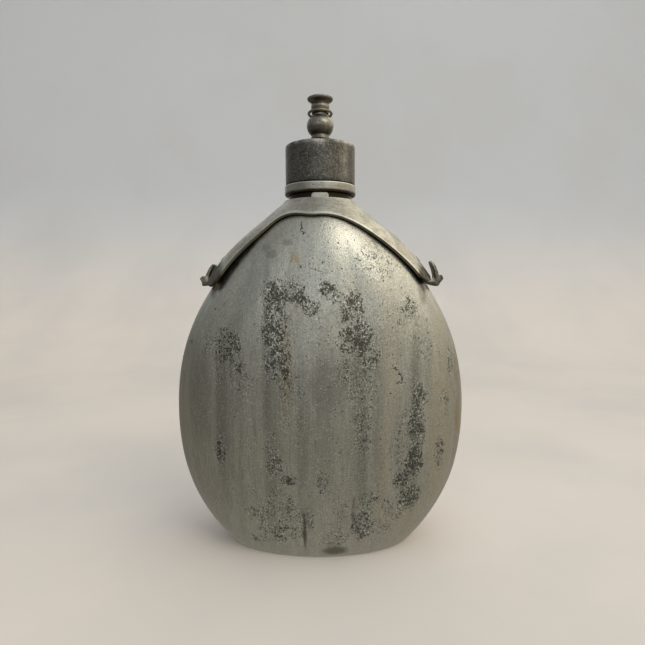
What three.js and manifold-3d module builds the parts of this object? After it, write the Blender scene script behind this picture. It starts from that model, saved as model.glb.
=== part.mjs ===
// Oval aluminium field flask: a lobed bottle, a strap yoke with two hooks, and a screw cap with a turned
// knob. Millimetres, +Z up. The origin is the centre of the flat foot, and the front of the flask faces -Y.
import * as THREE from 'three';
import { mergeVertices } from 'three/addons/utils/BufferGeometryUtils.js';
import Module from 'manifold-3d';

const wasm = await Module();
wasm.setup();

// ---------------------------------------------------------------------------------------------------------
// Driving dimensions
// ---------------------------------------------------------------------------------------------------------

const CLEARANCE = 0.3;              // gap between pieces that touch on the real flask

// Bottle
const BODY_HALF_WIDTH = 75.6;       // at the widest level, before the lobes
const BODY_HALF_DEPTH = 34.9;
const WIDEST_Z = 72.5;
const LOWER_POWER = 2.15;           // the lower half is a little squarer than an ellipse
const LOWER_REACH_X = 89.5;         // where each half outline would close, counted from the widest level
const LOWER_REACH_Y = 92.5;
const UPPER_REACH_X = 96;
const UPPER_REACH_Y = 154;
const SHOULDER_Z = 129.2;           // the egg outline gives way to the straight shoulder here
const SHOULDER_TOP_Z = 177;
const SHOULDER_TOP_X = 19.9;
const SHOULDER_TOP_Y = 19;
const SHOULDER_SLOPE_X = [-0.55, -1.25];
const SHOULDER_SLOPE_Y = [-0.12, -0.7];
const NECK_Z = 182;                 // the shoulder has turned into the straight neck
const NECK_R = 16.3;
const NECK_TOP_Z = 187.5;
const WALL = 1.2;
const FOOT_ROUNDING = 1.8;
const LOBE_EDGES = [17.6, 44.2, 69];  // degrees round from the front, where the panels meet
const LOBE_HEIGHT = 0.9;
const STEPS_PER_LOBE = 4;

// Mouthpiece and thread
const BORE_R = 11.6;
const THREAD_PITCH = 3.5;
const MALE_ROOT_R = 14;
const MALE_CREST_R = 15.1;
const FEMALE_ROOT_R = 15.6;
const FEMALE_CREST_R = 14.5;
const THREAD_BASE = 1.7;            // thickness of the thread's ridge at its foot, and at its crest
const THREAD_CREST = 0.8;
const THREAD_SEGMENTS = 18;         // per turn
const FLANGE_TOP_Z = 189.1;
const LIP_Z = 202.2;

// Collar ring
const COLLAR_R = 18.4;
const COLLAR_BOTTOM_Z = 183.9;
const COLLAR_TOP_Z = 188.9;

// Yoke and hooks
const SHEET = 1.5;
const YOKE_GAP = 0.5;               // under the sheet, near the neck
const YOKE_LIFT = 1.9;              // how much further the arms stand off the bottle at their ends
const EDGE_HUG = 0.85;              // share of that lift that the arms' edges lose
const LEFT_FRONT_HUG = 0.15;        // the left arm's front edge is bent up, and loses little of it
const YOKE_HALF_LENGTH = 56.2;
const YOKE_HALF_DEPTH = 22.8;       // round the neck
const ARM_END_HALF_DEPTH = 11.4;    // where the arms' ends would be without rounded corners
const ARM_TAPER = 1.6;              // power by which the arms narrow along their length
const LEFT_FRONT_HALF_DEPTH = 16.3; // the left arm's front edge is worn straight
const ARM_CORNER = 7;
const YOKE_HOLE_R = 17.1;
const TAB_WIDTH = 8;
const TAB_TOP_Z = 183.5;
const TAB_THICKNESS = 1.1;
const HOOK_WIDTH = 8;
const HOOK_STRIP = 1.4;
const SEAT_Z = 141.1;               // the hooks' flat seats, where a strap's ring rests
const SEAT_START_X = 57.6;          // just outside the end of the arm
const HOOK_LAP = [47.5, 54.8];      // how far the strip runs under the arm
const RIVET_X = 51.2;
const RIVET_SHANK_R = 1.3;
const RIVET_HEAD_R = 2;
const RIVET_HEAD_TOP = 0.6;         // the head is nearly flush with the sheet

// Cap
const CAP_R = 17.95;
const CAP_BOTTOM_Z = 189.4;
const CAP_RIM_Z = 208.9;
const CAP_CENTRE_Z = 211;           // the top is gently domed
const CAP_CEILING_Z = 204.9;
const SEAL_R = 14.1;
const SEAL_BOTTOM_Z = 202.5;
const SEAL_TOP_Z = 204.6;
const WASHER_R = 6;
const WASHER_BOTTOM_Z = 205.6;
const WASHER_TOP_Z = 206.3;
const STEM_R = 2;

// Knob and chain ring
const BALL_R = 6.95;
const BALL_Z = 219.6;
const KNOB_FOOT_R = 6.2;
const KNOB_NECK_R = 4.4;
const BEAD_R = 4.7;
const DISC_R = 6.65;
const KNOB_TOP_Z = 233.5;
const RING_R = 5.85;                // to the middle of the wire
const RING_WIRE_R = 0.75;
const RING_Z = 225.7;
const RING_TILT = THREE.MathUtils.degToRad(-4);

// ---------------------------------------------------------------------------------------------------------
// Materials
// ---------------------------------------------------------------------------------------------------------

function material(color, roughness, metalness) {
  return new THREE.MeshStandardMaterial({ color, roughness, metalness });
}

const looks = {
  aluminium: () => material(0x9a9a92, 0.42, 1),
  collar: () => material(0xb4b3a8, 0.35, 1),
  sheet: () => material(0xa3a297, 0.4, 1),
  hook: () => material(0x77736a, 0.5, 1),
  cap: () => material(0x5d5c57, 0.5, 1),
  knob: () => material(0x5a5750, 0.45, 1),
  turned: () => material(0xa9a9a2, 0.38, 1),
  cork: () => material(0xa9825a, 0.9, 0),
};

// ---------------------------------------------------------------------------------------------------------
// Helpers
// ---------------------------------------------------------------------------------------------------------

function toSolid(geometry) {
  const bare = geometry.clone();
  bare.deleteAttribute('normal');
  bare.deleteAttribute('uv');
  const merged = mergeVertices(bare, 1e-4);
  return new wasm.Manifold(new wasm.Mesh({
    numProp: 3,
    vertProperties: new Float32Array(merged.attributes.position.array),
    triVerts: new Uint32Array(merged.index.array),
  }));
}

// Slivers that a cut or a join leaves are merged away first.
function toGeometry(solid) {
  const mesh = solid.simplify(0.01).getMesh();
  const geometry = new THREE.BufferGeometry();
  geometry.setAttribute('position', new THREE.BufferAttribute(mesh.vertProperties, 3));
  geometry.setIndex(new THREE.BufferAttribute(mesh.triVerts, 1));
  geometry.computeVertexNormals();
  return geometry;
}

function piece(name, geometry, look) {
  const mesh = new THREE.Mesh(geometry, look());
  mesh.name = name;
  return mesh;
}

// A turned piece: the profile is a list of [radius, z] that starts and ends on the axis or closes on
// itself, and runs anticlockwise seen with the axis on the left.
function turned(profile, segments) {
  const points = profile.map(([r, z]) => new THREE.Vector2(r, z));
  return new THREE.LatheGeometry(points, segments).rotateX(Math.PI / 2);
}

// A tube of square section: one closed ring profile.
function tubeProfile(inner, outer, bottom, top) {
  return [[inner, bottom], [outer, bottom], [outer, top], [inner, top], [inner, bottom]];
}

function cylinder(radius, bottom, top, segments) {
  return turned([[0, bottom], [radius, bottom], [radius, top], [0, top]], segments);
}

// Rings of points, each [x, y, z], joined into one closed skin. The first and last rings are closed by caps
// unless the list closes on itself.
function loft(rings, closesOnItself) {
  const count = rings[0].length;
  const positions = rings.flat(2);
  const index = [];
  const bands = closesOnItself ? rings.length : rings.length - 1;
  for (let band = 0; band < bands; band += 1) {
    const below = band * count;
    const above = ((band + 1) % rings.length) * count;
    for (let i = 0; i < count; i += 1) {
      const j = (i + 1) % count;
      index.push(below + i, below + j, above + j, below + i, above + j, above + i);
    }
  }
  const capEnd = (ring, start, flip) => {
    const centre = positions.length / 3;
    const sum = ring.reduce((total, point) => total.map((value, axis) => value + point[axis]), [0, 0, 0]);
    positions.push(...sum.map((value) => value / count));
    for (let i = 0; i < count; i += 1) {
      const j = (i + 1) % count;
      index.push(centre, start + (flip ? j : i), start + (flip ? i : j));
    }
  };
  if (!closesOnItself) {
    capEnd(rings[0], 0, true);
    capEnd(rings.at(-1), (rings.length - 1) * count, false);
  }
  const geometry = new THREE.BufferGeometry();
  geometry.setAttribute('position', new THREE.Float32BufferAttribute(positions, 3));
  geometry.setIndex(index);
  geometry.computeVertexNormals();
  return geometry;
}

// A smooth run from one height to another, given the value and the slope at each end.
function hermite(z, [z0, value0, slope0], [z1, value1, slope1]) {
  const span = z1 - z0;
  const t = (z - z0) / span;
  const rise = t * t * (3 - 2 * t);
  return value0 * (1 - rise) + value1 * rise
    + span * (slope0 * t * (1 - t) ** 2 - slope1 * t * t * (1 - t));
}

const smoothstep = THREE.MathUtils.smoothstep;

// ---------------------------------------------------------------------------------------------------------
// Bottle
// ---------------------------------------------------------------------------------------------------------

function eggOutline(z, half, lowerReach, upperReach) {
  const power = z < WIDEST_Z ? LOWER_POWER : 2;
  const reach = z < WIDEST_Z ? lowerReach : upperReach;
  return half * (1 - (Math.abs(z - WIDEST_Z) / reach) ** power) ** (1 / power);
}

// Half width (or half depth) of the smooth bottle at a height.
function outline(z, half, lowerReach, upperReach, topHalf, slopes) {
  if (z < SHOULDER_Z) return eggOutline(z, half, lowerReach, upperReach);
  const start = [SHOULDER_Z, eggOutline(SHOULDER_Z, half, lowerReach, upperReach), slopes[0]];
  const top = [SHOULDER_TOP_Z, topHalf, slopes[1]];
  if (z < SHOULDER_TOP_Z) return hermite(z, start, top);
  if (z < NECK_Z) return hermite(z, top, [NECK_Z, NECK_R, 0]);
  return NECK_R;
}

function halfWidth(z) {
  return outline(z, BODY_HALF_WIDTH, LOWER_REACH_X, UPPER_REACH_X, SHOULDER_TOP_X, SHOULDER_SLOPE_X);
}

function halfDepth(z) {
  return outline(z, BODY_HALF_DEPTH, LOWER_REACH_Y, UPPER_REACH_Y, SHOULDER_TOP_Y, SHOULDER_SLOPE_Y);
}

// The directions round the bottle, as [angle from the front in radians, height of the lobe there, 0 to 1].
function lobeStations() {
  const quarter = [...LOBE_EDGES];
  const edges = [
    ...quarter,
    ...quarter.map((angle) => 180 - angle).reverse(),
    ...quarter.map((angle) => 180 + angle),
    ...quarter.map((angle) => 360 - angle).reverse(),
  ];
  const stations = [];
  edges.forEach((edge, i) => {
    const next = i + 1 < edges.length ? edges[i + 1] : edges[0] + 360;
    for (let step = 0; step < STEPS_PER_LOBE; step += 1) {
      const t = step / STEPS_PER_LOBE;
      const angle = THREE.MathUtils.degToRad(edge + (next - edge) * t);
      stations.push([angle, Math.sin(Math.PI * t)]);
    }
  });
  return stations;
}

// The lobes are full at the middle of the bottle and fade into the foot and the neck.
const lobeStrength = (z) => LOBE_HEIGHT * smoothstep(z, -12, 40) * (1 - smoothstep(z, 130, 172));

function bottleRing(z, inset) {
  return lobeStations().map(([angle, lobe]) => {
    const swell = lobe * lobeStrength(z) - inset;
    const x = (halfWidth(z) + swell) * Math.sin(angle);
    const y = -(halfDepth(z) + swell) * Math.cos(angle);
    return [x, y, z];
  });
}

function bodyShell() {
  const outerLevels = [
    FOOT_ROUNDING, 8, 15, 23, 32, 43, 55, WIDEST_Z, 88, 102, 114, 124, 133, 142, 151, 160, 169,
    SHOULDER_TOP_Z, 179.5, NECK_Z, NECK_TOP_Z,
  ];
  const innerLevels = [NECK_TOP_Z, NECK_Z, SHOULDER_TOP_Z, 166, 151, 133, 114, 93, WIDEST_Z, 50, 30, 15, 6];
  const rings = [
    bottleRing(0, FOOT_ROUNDING),
    bottleRing(FOOT_ROUNDING * 0.3, FOOT_ROUNDING * 0.3),
    ...outerLevels.map((z) => bottleRing(z, 0)),
    ...innerLevels.map((z) => bottleRing(z, WALL)),
    bottleRing(WALL + 0.6, WALL + 2.6),
  ];
  return piece('body_shell', loft(rings, false), looks.aluminium);
}

// ---------------------------------------------------------------------------------------------------------
// Threads, mouthpiece and collar ring
// ---------------------------------------------------------------------------------------------------------

// A helical ridge. It stands on the radius root, points to the radius crest, and fades out at both ends.
function threadRidge(root, crest, bottom, top) {
  const away = Math.sign(root - crest);
  const halfBase = THREAD_BASE / 2;
  const halfCrest = THREAD_CREST / 2;
  const turns = (top - bottom - THREAD_BASE) / THREAD_PITCH;
  const steps = Math.round(turns * THREAD_SEGMENTS);
  const rings = [];
  for (let step = 0; step <= steps; step += 1) {
    const t = step / steps;
    const angle = t * turns * 2 * Math.PI;
    const middle = bottom + halfBase + t * turns * THREAD_PITCH;
    const fade = smoothstep(Math.min(step, steps - step), -2, 5);
    const tip = root + (crest - root) * fade;
    const foot = root + away * 0.5;
    const section = [[foot, -halfBase], [tip, -halfCrest], [tip, halfCrest], [foot, halfBase]];
    const ordered = away > 0 ? section : section.reverse();
    rings.push(ordered.map(([r, dz]) => [r * Math.cos(angle), r * Math.sin(angle), middle + dz]));
  }
  return loft(rings, false);
}

function mouthpiece() {
  const plugR = NECK_R - WALL - CLEARANCE;
  const body = turned([
    [BORE_R, NECK_TOP_Z - 6.5], [plugR, NECK_TOP_Z - 6.5], [plugR, NECK_TOP_Z + CLEARANCE],
    [NECK_R, NECK_TOP_Z + CLEARANCE], [NECK_R, FLANGE_TOP_Z], [MALE_ROOT_R, FLANGE_TOP_Z],
    [MALE_ROOT_R, LIP_Z], [BORE_R, LIP_Z], [BORE_R, NECK_TOP_Z - 6.5],
  ], 2 * THREAD_SEGMENTS);
  const ridge = threadRidge(MALE_ROOT_R, MALE_CREST_R, FLANGE_TOP_Z + 0.4, LIP_Z - 0.4);
  return piece('mouthpiece', toGeometry(toSolid(body).add(toSolid(ridge))), looks.turned);
}

function collarRing() {
  const inner = NECK_R + CLEARANCE;
  const lowerEdge = 0.7;
  const upperEdge = 0.4;
  return piece('collar_ring', turned([
    [inner, COLLAR_BOTTOM_Z], [COLLAR_R - lowerEdge, COLLAR_BOTTOM_Z],
    [COLLAR_R, COLLAR_BOTTOM_Z + lowerEdge], [COLLAR_R, COLLAR_TOP_Z - upperEdge],
    [COLLAR_R - upperEdge, COLLAR_TOP_Z], [inner, COLLAR_TOP_Z], [inner, COLLAR_BOTTOM_Z],
  ], 48), looks.collar);
}

// ---------------------------------------------------------------------------------------------------------
// Yoke: a sheet that follows the shoulders
// ---------------------------------------------------------------------------------------------------------

// How much longer a level step outwards is than the same step square to the shoulder, in one direction.
function levelStep(z, x, y) {
  const step = 0.2;
  const slope = (half) => (half(z + step) - half(z - step)) / (2 * step);
  const sideways = x * x / (x * x + y * y);
  return Math.hypot(1, sideways * slope(halfWidth) + (1 - sideways) * slope(halfDepth));
}

// Height above a point in plan of the surface that stands off the bottle's lobes by a distance.
function heightAbove(x, y, distance) {
  let low = WIDEST_Z;
  let high = NECK_TOP_Z;
  for (let i = 0; i < 40; i += 1) {
    const z = (low + high) / 2;
    const swell = distance * levelStep(z, x, y) + lobeStrength(z);
    const inside = (x / (halfWidth(z) + swell)) ** 2 + (y / (halfDepth(z) + swell)) ** 2 < 1;
    if (inside) low = z;
    else high = z;
  }
  return low;
}

// Half depth of the sheet, seen from above, at a distance along the arms.
const sheetHalfDepth = (x) => YOKE_HALF_DEPTH
  - (YOKE_HALF_DEPTH - ARM_END_HALF_DEPTH) * (Math.abs(x) / YOKE_HALF_LENGTH) ** ARM_TAPER;

const leftFrontHalfDepth = (x) => LEFT_FRONT_HALF_DEPTH
  + (YOKE_HALF_DEPTH - LEFT_FRONT_HALF_DEPTH) * (1 - smoothstep(Math.abs(x), 2, 24));

// How far the underside of the sheet stands off the bottle. The arms arch, so their edges come back down.
function sheetGap(x, y) {
  const hug = x < 0 && y < 0 ? LEFT_FRONT_HUG : EDGE_HUG;
  const edge = Math.min(1, (y / sheetHalfDepth(x)) ** 2);
  return YOKE_GAP + YOKE_LIFT * smoothstep(Math.abs(x), 24, 50) * (1 - hug * edge);
}

// One quarter of the sheet's outline in plan, from the middle of an arm's end to the neck.
function quarterOutline(side, front) {
  const halfDepthAt = side < 0 && front ? leftFrontHalfDepth : sheetHalfDepth;
  const cornerX = YOKE_HALF_LENGTH - ARM_CORNER;
  const points = [[YOKE_HALF_LENGTH, (halfDepthAt(YOKE_HALF_LENGTH) - ARM_CORNER) / 2]];
  const cornerSteps = 6;
  for (let i = 0; i <= cornerSteps; i += 1) {
    const angle = (Math.PI / 2) * (i / cornerSteps);
    const x = cornerX + ARM_CORNER * Math.cos(angle);
    points.push([x, halfDepthAt(x) - ARM_CORNER * (1 - Math.sin(angle))]);
  }
  const armSteps = 11;
  for (let i = 1; i < armSteps; i += 1) {
    const x = cornerX * (1 - i / armSteps);
    points.push([x, halfDepthAt(x)]);
  }
  return points.map(([x, y]) => [side * x, front ? -y : y]);
}

// The sheet's outline in plan, starting at the middle of the right-hand end and running anticlockwise.
const yokeOutline = () => [
  [YOKE_HALF_LENGTH, 0], ...quarterOutline(1, false),
  [0, YOKE_HALF_DEPTH], ...quarterOutline(-1, false).reverse(),
  [-YOKE_HALF_LENGTH, 0], ...quarterOutline(-1, true),
  [0, -YOKE_HALF_DEPTH], ...quarterOutline(1, true).reverse(),
];

// Height of the sheet's underside above a point in plan, or of a surface further off the bottle.
const sheetHeight = (x, y, further = 0) => heightAbove(x, y, sheetGap(x, y) + further);

// The direction straight out of the sheet above a point in plan.
function outwardsAt(x, y) {
  const step = 0.3;
  const slopeX = (sheetHeight(x + step, y) - sheetHeight(x - step, y)) / (2 * step);
  const slopeY = (sheetHeight(x, y + step) - sheetHeight(x, y - step)) / (2 * step);
  return new THREE.Vector3(-slopeX, -slopeY, 1).normalize();
}

function yokeSheet() {
  const rim = yokeOutline();
  const bands = 7;
  const under = [];
  const over = [];
  for (let band = 0; band <= bands; band += 1) {
    const t = (band / bands) ** 1.6;
    const points = rim.map(([rimX, rimY]) => {
      const angle = Math.atan2(rimY, rimX);
      const x = THREE.MathUtils.lerp(YOKE_HOLE_R * Math.cos(angle), rimX, t);
      const y = THREE.MathUtils.lerp(YOKE_HOLE_R * Math.sin(angle), rimY, t);
      const point = new THREE.Vector3(x, y, sheetHeight(x, y));
      return [point, point.clone().addScaledVector(outwardsAt(x, y), SHEET)];
    });
    under.push(points.map(([point]) => point.toArray()));
    over.push(points.map(([, point]) => point.toArray()));
  }
  return loft([...under, ...over.reverse()], true);
}

// The upright tab on the front edge of the neck hole.
function yokeTab() {
  const inner = NECK_R + 2 * CLEARANCE;
  const outer = inner + TAB_THICKNESS;
  const halfAngle = TAB_WIDTH / 2 / outer;
  const shape = new THREE.Shape();
  shape.absarc(0, 0, outer, -Math.PI / 2 - halfAngle, -Math.PI / 2 + halfAngle, false);
  shape.absarc(0, 0, inner, -Math.PI / 2 + halfAngle, -Math.PI / 2 - halfAngle, true);
  const bottom = sheetHeight(0, YOKE_HOLE_R) + 0.3;
  const options = { depth: TAB_TOP_Z - bottom, bevelEnabled: false, curveSegments: 4 };
  return new THREE.ExtrudeGeometry(shape, options).translate(0, 0, bottom);
}

// Middle of a rivet: on the top of the sheet, with the direction that stands straight out of it.
function rivetSeat(side) {
  const x = side * RIVET_X;
  return { seat: new THREE.Vector3(x, 0, sheetHeight(x, 0, SHEET)), outwards: outwardsAt(x, 0) };
}

// Turns a shape that stands on the origin along +Z so that it stands on the sheet at a rivet.
function ontoRivetSeat(geometry, side) {
  const { seat, outwards } = rivetSeat(side);
  const turn = new THREE.Quaternion().setFromUnitVectors(new THREE.Vector3(0, 0, 1), outwards);
  return geometry.clone().applyQuaternion(turn).translate(seat.x, seat.y, seat.z);
}

const rivetHole = (side) => ontoRivetSeat(cylinder(RIVET_SHANK_R + CLEARANCE, -5, 3, 12), side);

function yoke() {
  let solid = toSolid(yokeSheet()).add(toSolid(yokeTab()));
  [-1, 1].forEach((side) => {
    solid = solid.subtract(toSolid(rivetHole(side)));
  });
  return piece('yoke', toGeometry(solid), looks.sheet);
}

// ---------------------------------------------------------------------------------------------------------
// Hooks and rivets
// ---------------------------------------------------------------------------------------------------------

// Side view of a hook, as [distance from the middle of the flask, z]. The strip lies under the arm,
// turns out into a flat seat and comes up as a tongue. closing goes from 0, open, to 1, bent in like the
// left one.
function hookShape(closing) {
  const crown = 0.4;                // the arm bends down this far across the strip's width
  const underArm = (x, depth) => sheetHeight(x, 0, -CLEARANCE - crown - depth);
  const bent = (x, z, inwards, down) => [x - closing * inwards, z - closing * down];
  const lap = [0, 0.33, 0.67, 1].map((t) => THREE.MathUtils.lerp(...HOOK_LAP, t));
  const shape = new THREE.Shape();
  shape.moveTo(lap[0], underArm(lap[0], HOOK_STRIP * 0.8));
  lap.slice(1).forEach((x) => shape.lineTo(x, underArm(x, HOOK_STRIP)));
  shape.quadraticCurveTo(56.4, 138.6, 58.4, 138.2);
  shape.lineTo(60.6, 137.7);
  shape.quadraticCurveTo(62.2, 137.6, ...bent(62.5, 139.3, 0.8, 0));
  shape.lineTo(...bent(64.4, 141.6, 1.5, 0));
  shape.lineTo(...bent(63.4, 143.7, 1.8, 0.8));
  shape.lineTo(...bent(62, 142.9, 2.1, 0.2));
  shape.quadraticCurveTo(...bent(61.4, 146, 2.5, 0), ...bent(59.2, 150.2, 2.4, 1.8));
  shape.quadraticCurveTo(...bent(58.4, 151.7, 2.6, 1.9), ...bent(57.6, 150.3, 2.3, 1.8));
  shape.quadraticCurveTo(...bent(59.7, 146, 2.5, 0), ...bent(60, 142.6, 1.8, 0));
  shape.quadraticCurveTo(...bent(60, SEAT_Z, 1.6, 0), ...bent(59.2, SEAT_Z, 1, 0));
  shape.lineTo(SEAT_START_X, SEAT_Z);
  shape.lineTo(SEAT_START_X - 0.8, SEAT_Z - 0.4);
  lap.reverse().forEach((x) => shape.lineTo(x, underArm(x, 0)));
  return shape;
}

function strapHook(name, side, closing) {
  const options = { depth: HOOK_WIDTH, bevelEnabled: false, curveSegments: 4 };
  const flat = new THREE.ExtrudeGeometry(hookShape(closing), options);
  const upright = flat.rotateX(Math.PI / 2).translate(0, HOOK_WIDTH / 2, 0);
  let solid = toSolid(upright);
  if (side < 0) solid = solid.mirror([1, 0, 0]);
  solid = solid.subtract(toSolid(rivetHole(side)));
  return piece(name, toGeometry(solid), looks.hook);
}

function hookRivet(name, side) {
  const headBottom = 0.25;
  const tail = -(SHEET + CLEARANCE + HOOK_STRIP);
  const shape = turned([
    [0, tail], [RIVET_SHANK_R, tail], [RIVET_SHANK_R, headBottom], [RIVET_HEAD_R, headBottom],
    [RIVET_HEAD_R * 0.7, RIVET_HEAD_TOP], [0, RIVET_HEAD_TOP],
  ], 12);
  return piece(name, ontoRivetSeat(shape, side), looks.sheet);
}

// ---------------------------------------------------------------------------------------------------------
// Cap
// ---------------------------------------------------------------------------------------------------------

function capShell() {
  const segments = 2 * THREAD_SEGMENTS;
  const recessR = WASHER_R + CLEARANCE;
  const recessZ = WASHER_TOP_Z + CLEARANCE;
  const holeR = STEM_R + CLEARANCE;
  const rimEdge = 1;
  const shell = turned([
    [FEMALE_ROOT_R, CAP_BOTTOM_Z], [CAP_R - 0.4, CAP_BOTTOM_Z], [CAP_R, CAP_BOTTOM_Z + 0.4],
    [CAP_R, CAP_RIM_Z - rimEdge], [CAP_R - 0.3 * rimEdge, CAP_RIM_Z - 0.3 * rimEdge],
    [CAP_R - rimEdge, CAP_RIM_Z], [CAP_R * 0.62, CAP_CENTRE_Z - 0.7], [KNOB_FOOT_R + 0.4, CAP_CENTRE_Z],
    [holeR, CAP_CENTRE_Z], [holeR, recessZ], [recessR, recessZ], [recessR, CAP_CEILING_Z],
    [FEMALE_ROOT_R, CAP_CEILING_Z], [FEMALE_ROOT_R, CAP_BOTTOM_Z],
  ], segments);
  const ridge = threadRidge(FEMALE_ROOT_R, FEMALE_CREST_R, CAP_BOTTOM_Z + 0.3, SEAL_BOTTOM_Z - 0.2);
  const inMesh = toSolid(ridge).rotate([0, 0, threadPhase()]);
  return piece('cap_shell', toGeometry(toSolid(shell).add(inMesh)), looks.cap);
}

// How far the cap's ridge is turned, in degrees, to lie half a pitch from the mouthpiece's ridge.
function threadPhase() {
  const startOffset = (CAP_BOTTOM_Z + 0.3) - (FLANGE_TOP_Z + 0.4);
  return 360 * (startOffset / THREAD_PITCH - 0.5);
}

function sealingDisc() {
  return piece('sealing_disc', cylinder(SEAL_R, SEAL_BOTTOM_Z, SEAL_TOP_Z, 36), looks.cork);
}

function stemWasher() {
  const profile = tubeProfile(STEM_R + CLEARANCE, WASHER_R, WASHER_BOTTOM_Z, WASHER_TOP_Z);
  return piece('stem_washer', turned(profile, 24), looks.turned);
}

// ---------------------------------------------------------------------------------------------------------
// Knob and chain ring
// ---------------------------------------------------------------------------------------------------------

function knob() {
  const stemBottom = WASHER_BOTTOM_Z - CLEARANCE - 0.35;
  const headR = 3.3;
  const foot = CAP_CENTRE_Z + CLEARANCE;
  const profile = [
    [0, stemBottom], [headR, stemBottom], [headR, stemBottom + 0.35], [STEM_R, stemBottom + 0.35],
    [STEM_R, foot], [KNOB_FOOT_R, foot], [KNOB_FOOT_R, foot + 0.8], [4.9, foot + 1.5], [4.8, foot + 2.3],
  ];
  const ballStart = -50;
  const ballEnd = 52;
  const ballSteps = 9;
  for (let i = 0; i <= ballSteps; i += 1) {
    const angle = THREE.MathUtils.degToRad(ballStart + ((ballEnd - ballStart) * i) / ballSteps);
    profile.push([BALL_R * Math.cos(angle), BALL_Z + BALL_R * 0.9 * Math.sin(angle)]);
  }
  profile.push(
    [KNOB_NECK_R, 226.6], [KNOB_NECK_R, 227.9], [BEAD_R, 228.5], [BEAD_R, 229.5], [KNOB_NECK_R, 230.3],
    [KNOB_NECK_R + 0.3, 231], [DISC_R - 0.6, 232], [DISC_R, 232.5], [DISC_R, 233.1],
    [DISC_R - 0.5, KNOB_TOP_Z], [0, KNOB_TOP_Z],
  );
  return piece('knob', turned(profile, 26), looks.knob);
}

function chainRing() {
  const mesh = piece('chain_ring', new THREE.TorusGeometry(RING_R, RING_WIRE_R, 8, 26), looks.knob);
  mesh.position.z = RING_Z;
  mesh.rotation.x = RING_TILT;
  return mesh;
}

// ---------------------------------------------------------------------------------------------------------
// The flask
// ---------------------------------------------------------------------------------------------------------

const bottle = new THREE.Group();
bottle.add(
  bodyShell(),
  mouthpiece(),
  collarRing(),
  yoke(),
  strapHook('strap_hook_left', -1, 1),
  strapHook('strap_hook_right', 1, 0),
  hookRivet('hook_rivet_left', -1),
  hookRivet('hook_rivet_right', 1),
);

const cap = new THREE.Group();
cap.add(capShell(), stemWasher(), knob(), chainRing(), sealingDisc());

const flask = new THREE.Group();
flask.add(bottle, cap);

export default flask;
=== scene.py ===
# Looks of the oval aluminium field flask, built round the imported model.
# The outlines are worked out in millimetres and scaled once, where a mesh is made.
import math

import bmesh
import bpy
import numpy as np
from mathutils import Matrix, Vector, noise


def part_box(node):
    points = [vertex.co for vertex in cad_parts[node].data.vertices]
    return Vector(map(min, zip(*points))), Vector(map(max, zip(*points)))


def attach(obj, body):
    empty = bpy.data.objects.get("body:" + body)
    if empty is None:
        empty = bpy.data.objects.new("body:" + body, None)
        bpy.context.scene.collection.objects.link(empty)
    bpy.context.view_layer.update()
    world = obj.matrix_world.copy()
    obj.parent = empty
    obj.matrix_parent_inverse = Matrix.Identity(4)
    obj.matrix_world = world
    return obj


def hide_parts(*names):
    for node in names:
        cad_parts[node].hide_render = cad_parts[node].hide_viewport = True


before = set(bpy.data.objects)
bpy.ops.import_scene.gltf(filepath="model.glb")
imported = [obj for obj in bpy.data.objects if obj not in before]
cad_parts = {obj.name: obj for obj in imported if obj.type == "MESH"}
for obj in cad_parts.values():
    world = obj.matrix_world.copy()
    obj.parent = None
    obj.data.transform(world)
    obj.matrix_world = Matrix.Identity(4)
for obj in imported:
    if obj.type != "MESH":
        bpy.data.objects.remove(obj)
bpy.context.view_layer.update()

MM = 0.001


def box_mm(node):
    """Lowest and highest corner of a CAD node, in millimetres."""
    low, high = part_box(node)
    return np.array(low) / MM, np.array(high) / MM


# ---- Driving dimensions, in millimetres ----

CAP_LOW, CAP_HIGH = box_mm("cap_shell")
COLLAR_LOW, COLLAR_HIGH = box_mm("collar_ring")
SPOUT_LOW, SPOUT_HIGH = box_mm("mouthpiece")
KNOB_LOW, KNOB_HIGH = box_mm("knob")
RING_LOW, RING_HIGH = box_mm("chain_ring")
SEAL_LOW, SEAL_HIGH = box_mm("sealing_disc")
WASHER_LOW, WASHER_HIGH = box_mm("stem_washer")
NECK_TOP_Z = box_mm("body_shell")[1][2]

BODY_HALF_WIDTH = 75.6
BODY_HALF_DEPTH = 34.9
WIDEST_Z = 72.5
LOWER_POWER = 2.15
LOWER_REACH_X = 89.5
LOWER_REACH_Y = 92.5
UPPER_REACH_X = 96
UPPER_REACH_Y = 154
SHOULDER_Z = 129.2
SHOULDER_TOP_Z = 177
SHOULDER_TOP_X = 19.9
SHOULDER_TOP_Y = 19
SHOULDER_SLOPE_X = (-0.55, -1.25)
SHOULDER_SLOPE_Y = (-0.12, -0.7)
NECK_Z = 182
NECK_R = 16.3
WALL = 1.2
CLEARANCE = 0.3  # gap between two pieces that don't touch
FOOT_ROUNDING = 1.8
LOBE_EDGES = (17.6, 44.2, 69)
LOBE_HEIGHT = 0.9
LOBE_SEAM = 0.1  # how soft the seam between two lobes is

BORE_R = 11.6
THREAD_PITCH = 3.5
MALE_ROOT_R = 14
MALE_CREST_R = 15.1
FEMALE_ROOT_R = 15.6
FEMALE_CREST_R = 14.5
THREAD_STEP = 0.2  # rise from one ring of a threaded wall to the next
FLANGE_TOP_Z = 189.1

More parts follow.
